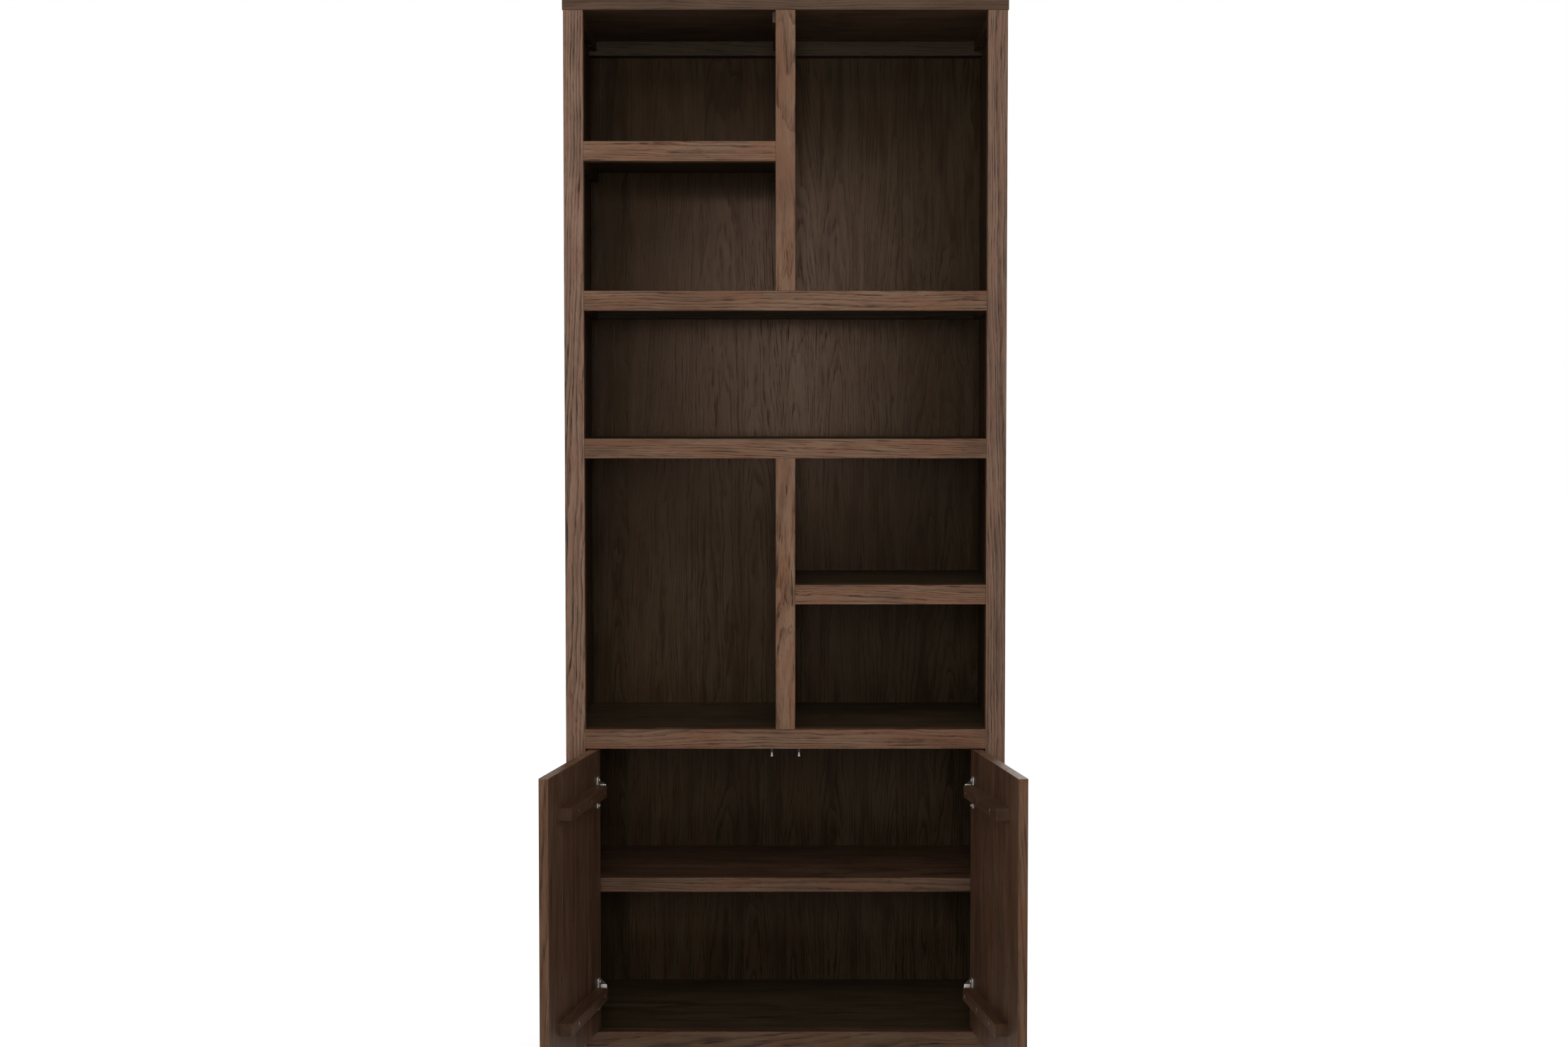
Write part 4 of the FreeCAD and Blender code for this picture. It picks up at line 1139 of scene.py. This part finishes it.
# %% Join the arm
SLOPE = Vector((0.965, 0.262, 0.0)).normalized()    # the way the sloping upper face looks
ARM_SCREW_RADIUS = 3.6
FRONT_SCREW_FOOT = (-376.3, -176.0, 0.0)
REAR_SCREW_FOOT = (-386.3, -139.0, 0.0)

front_screw = cross_screw(FRONT_SCREW_FOOT, SLOPE, ARM_SCREW_RADIUS)
rear_screw = cross_screw(REAR_SCREW_FOOT, SLOPE, ARM_SCREW_RADIUS)
arm_pieces = [body, saddle, neck, link, barrel, front_screw, rear_screw]
arm = settled(joined(arm_pieces), "hinge_arm_left_low", nickel)
print("arm", len(arm.data.polygons), "faces")

# %% [markdown]
# ## The mounting plate
# The plate is screwed to the wooden block beside it, and the arm clips over its spine. Its two wings reach
# up and down, with round corners and a hole each for a screw. A flat cross could be extruded from a drawn
# outline. A spine and one long wing plate, with the wing's corner edges bevelled and its holes cut, come to
# the same in fewer steps.

# %% Model the mounting plate
WING_REACH = 25.0
WING_THICKNESS = 2.5
WING_CORNER = 5.0
WING_MIDDLE_Y = -160.0
WING_HALF_WIDTH = 9.0
HOLE_HEIGHT = 16.0
HOLE_RADIUS = 4.05
SPINE = ((PLATE_FOOT_X, -188.0, -7.0), (PLATE_TOP_X, -123.0, 7.0))      # low corner and high corner
CORNER_SEGMENTS = 6
BEHIND_PLATE_X = PLATE_FOOT_X - 2.0     # where the cutters start

spine = rounded(box(*SPINE), 0.8)
wings = box((PLATE_FOOT_X, WING_MIDDLE_Y - WING_HALF_WIDTH, -WING_REACH),
            (PLATE_FOOT_X + WING_THICKNESS, WING_MIDDLE_Y + WING_HALF_WIDTH, WING_REACH))
work_on(wings, "EDGE", lambda place, facing: abs(facing.normalized().x) > ALIGNED,
        bevel(WING_CORNER, CORNER_SEGMENTS))
rounded(wings, 0.4, FINE)
for height in (-HOLE_HEIGHT, HOLE_HEIGHT):
    cut(wings, cylinder((BEHIND_PLATE_X, WING_MIDDLE_Y, height), ALONG_X, HOLE_RADIUS, 6.0))
plate = settled(joined([spine, wings]), "hinge_plate_left_low", nickel)
print("plate", len(plate.data.polygons), "faces")

# %% [markdown]
# ## The cup
# The cup is sunk in the door, with its flange on the door's inner face and a screw at each end of the
# flange. It could be turned from a drawn profile. Here it is drawn from a flat disc, as the press does it:
# the back is inset and pushed out into the cup, and the front is inset and pushed in to make the hollow. It
# is modelled on the shut door, where its faces lie square, and turned out with the door later.

# %% Draw the cup from a disc
RIM_RADIUS = 19.0
CUP_SIDES = 64
INTO_DOOR = (0, -1, 0)
RIM_STEP = 1.5                  # how far the cup's wall stands in from the rim
WALL = 2.5                      # rim's edge to the hollow
CUP_DEPTH = 13.5
HOLLOW_DEPTH = 13.7

rim = cylinder((CUP_MIDDLE_X, DOOR_INSIDE_Y, 0.0), ALONG_Y, RIM_RADIUS, SHEET, CUP_SIDES)
work_on(rim, "FACE", lambda place, facing: facing.y < -ALIGNED, inset(RIM_STEP), push(INTO_DOOR, CUP_DEPTH))
work_on(rim, "FACE", lambda place, facing: facing.y > ALIGNED, inset(WALL), push(INTO_DOOR, HOLLOW_DEPTH))
rounded(rim, 0.3, FINE)
print("cup", 2 * (RIM_RADIUS - RIM_STEP), "mm across and", CUP_DEPTH, "mm deep")

# %% Model the flange and join the cup
FLANGE_HALF_WIDTH = 6.5
FLANGE_REACH = 33.5
FLANGE_CORNER = 6.3
FLANGE_SEGMENTS = 8
SCREW_HEIGHTS = (-26.0, 26.0)
BELOW_FLANGE_Y = DOOR_INSIDE_Y - 2.0    # where the cutters start
CUTTER_LENGTH = 9.0
CUP_OPENING = 16.6              # radius
CUP_SCREW_HOLE = 3.6            # radius
CUP_SCREW_RADIUS = 3.2
CUP_SCREW_HEIGHT = 3.0
CUP_SCREW_DOME = 1.7            # rounding of its head

flange = box((FLANGE_MIDDLE_X - FLANGE_HALF_WIDTH, DOOR_INSIDE_Y, -FLANGE_REACH),
             (FLANGE_MIDDLE_X + FLANGE_HALF_WIDTH, FLANGE_TOP_Y, FLANGE_REACH))
work_on(flange, "EDGE", lambda place, facing: abs(facing.normalized().y) > ALIGNED,
        bevel(FLANGE_CORNER, FLANGE_SEGMENTS))
rounded(flange, 0.7)
cut(flange, cylinder((CUP_MIDDLE_X, BELOW_FLANGE_Y, 0.0), ALONG_Y, CUP_OPENING, CUTTER_LENGTH, CUP_SIDES))
for height in SCREW_HEIGHTS:
    cut(flange, cylinder((FLANGE_MIDDLE_X, BELOW_FLANGE_Y, height), ALONG_Y, CUP_SCREW_HOLE, CUTTER_LENGTH))
heads = [cross_screw((FLANGE_MIDDLE_X, FLANGE_TOP_Y, height), ALONG_Y, CUP_SCREW_RADIUS, CUP_SCREW_HEIGHT,
                     CUP_SCREW_DOME)
         for height in SCREW_HEIGHTS]
cup = settled(joined([rim, flange, *heads]), "hinge_cup_left_low", nickel)
print("cup", len(cup.data.polygons), "faces")

# %% [markdown]
# ## Four hinges from one
# Each door hangs on a low and a high hinge. Modelling four would be four chances for them to differ, so the
# one hinge is copied: lifted to its height, mirrored for the right side, and the cup turned about the pin
# by the angle at which the door stands open. Arms and plates stay with the carcass, and cups ride on their
# doors.

# %% Put the hinges in their places
MIRROR = Matrix.Scale(-1.0, 4, ALONG_X)


def about(point, degrees):
    """Turn about an upright line through a point in millimetres."""
    there = Matrix.Translation(point * MM)
    return there @ Matrix.Rotation(math.radians(degrees), 4, "Z") @ there.inverted()


for side, (way, opened) in DOORS.items():
    to_side = MIRROR if side == "right" else Matrix.Identity(4)
    pin = Vector((way * PIN.x, PIN.y, 0.0))
    for level, height in HINGE_HEIGHTS.items():
        lift = Matrix.Translation((0.0, 0.0, height * MM))
        for source, kind in ((arm, "arm"), (plate, "plate"), (cup, "cup")):
            matrix = lift @ to_side
            if kind == "cup":
                matrix = about(pin, -way * opened) @ matrix
            piece = placed_copy(source, "hinge_%s_%s_%s_set" % (kind, side, level), matrix)
            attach(piece, side + "_door" if kind == "cup" else "carcass")
            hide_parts(side + "_hinge_cups" if kind == "cup" else "hinge_%ss" % kind)
for source in (arm, plate, cup):
    bpy.data.objects.remove(source)
print("hinges at", sorted(HINGE_HEIGHTS.values()), "mm, each side")

# %% [markdown]
# ## The door stops
# Under the cabinet top, behind the doors' free edges, sit two small stops: a black collar pushed up against
# the board, a bright pin through it, and a wider tip that the door's edge meets. Each is a turned piece, so
# cylinders with rounded edges make it, and the collar is bored for the pin. One stop is modelled in the
# middle and copied to both sides.

# %% Model the collar and the pin
STOP_Y = -201.7
STOP_TOP = 658.5                # the underside of the cabinet top
COLLAR_HEIGHT = 10.5
COLLAR_RADIUS = 4.0
COLLAR_BORE = 2.55              # radius, a hair wider than the shaft
SHAFT_RADIUS = 2.5
SHAFT_LENGTH = 26.0             # most of it sits in the board
SHAFT_DROP = 15.2               # from the board down to the shaft's foot
TIP_RADIUS = 3.5
TIP_LENGTH = 4.2
TIP_DROP = 19.0
TIP_ROUNDING = 1.2
TIP_SEGMENTS = 5


def stop_cylinder(drop, radius, length):
    """Upright cylinder whose foot hangs a drop below the board."""
    return cylinder((0.0, STOP_Y, STOP_TOP - drop), ALONG_Z, radius, length)


collar = rounded(stop_cylinder(COLLAR_HEIGHT, COLLAR_RADIUS, COLLAR_HEIGHT), 0.5)
cut(collar, stop_cylinder(20.0, COLLAR_BORE, 30.0))
settled(collar, "door_stop_collar", black_nylon)
shaft = rounded(stop_cylinder(SHAFT_DROP, SHAFT_RADIUS, SHAFT_LENGTH), 0.3)
tip = rounded(stop_cylinder(TIP_DROP, TIP_RADIUS, TIP_LENGTH), TIP_ROUNDING, TIP_SEGMENTS)
stop_pin = settled(joined([shaft, tip]), "door_stop_pin", bright_steel)
print("collar", len(collar.data.polygons), "faces, pin", len(stop_pin.data.polygons))

# %% Put the stops in their places
STOPS = {"left": -28.0, "right": 28.0}      # mm from the middle
STOP_PARTS = ((collar, "door_stop_collars", "black_plastic"), (stop_pin, "door_stop_pins", "bright_steel"))

for source, node, slot in STOP_PARTS:
    for side, x in STOPS.items():
        piece = placed_copy(source, "%s_%s" % (source.name, side), Matrix.Translation((x * MM, 0.0, 0.0)))
        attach(piece, "carcass")
        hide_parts(node)
    bpy.data.objects.remove(source)
print("stops", STOPS["right"] - STOPS["left"], "mm apart")
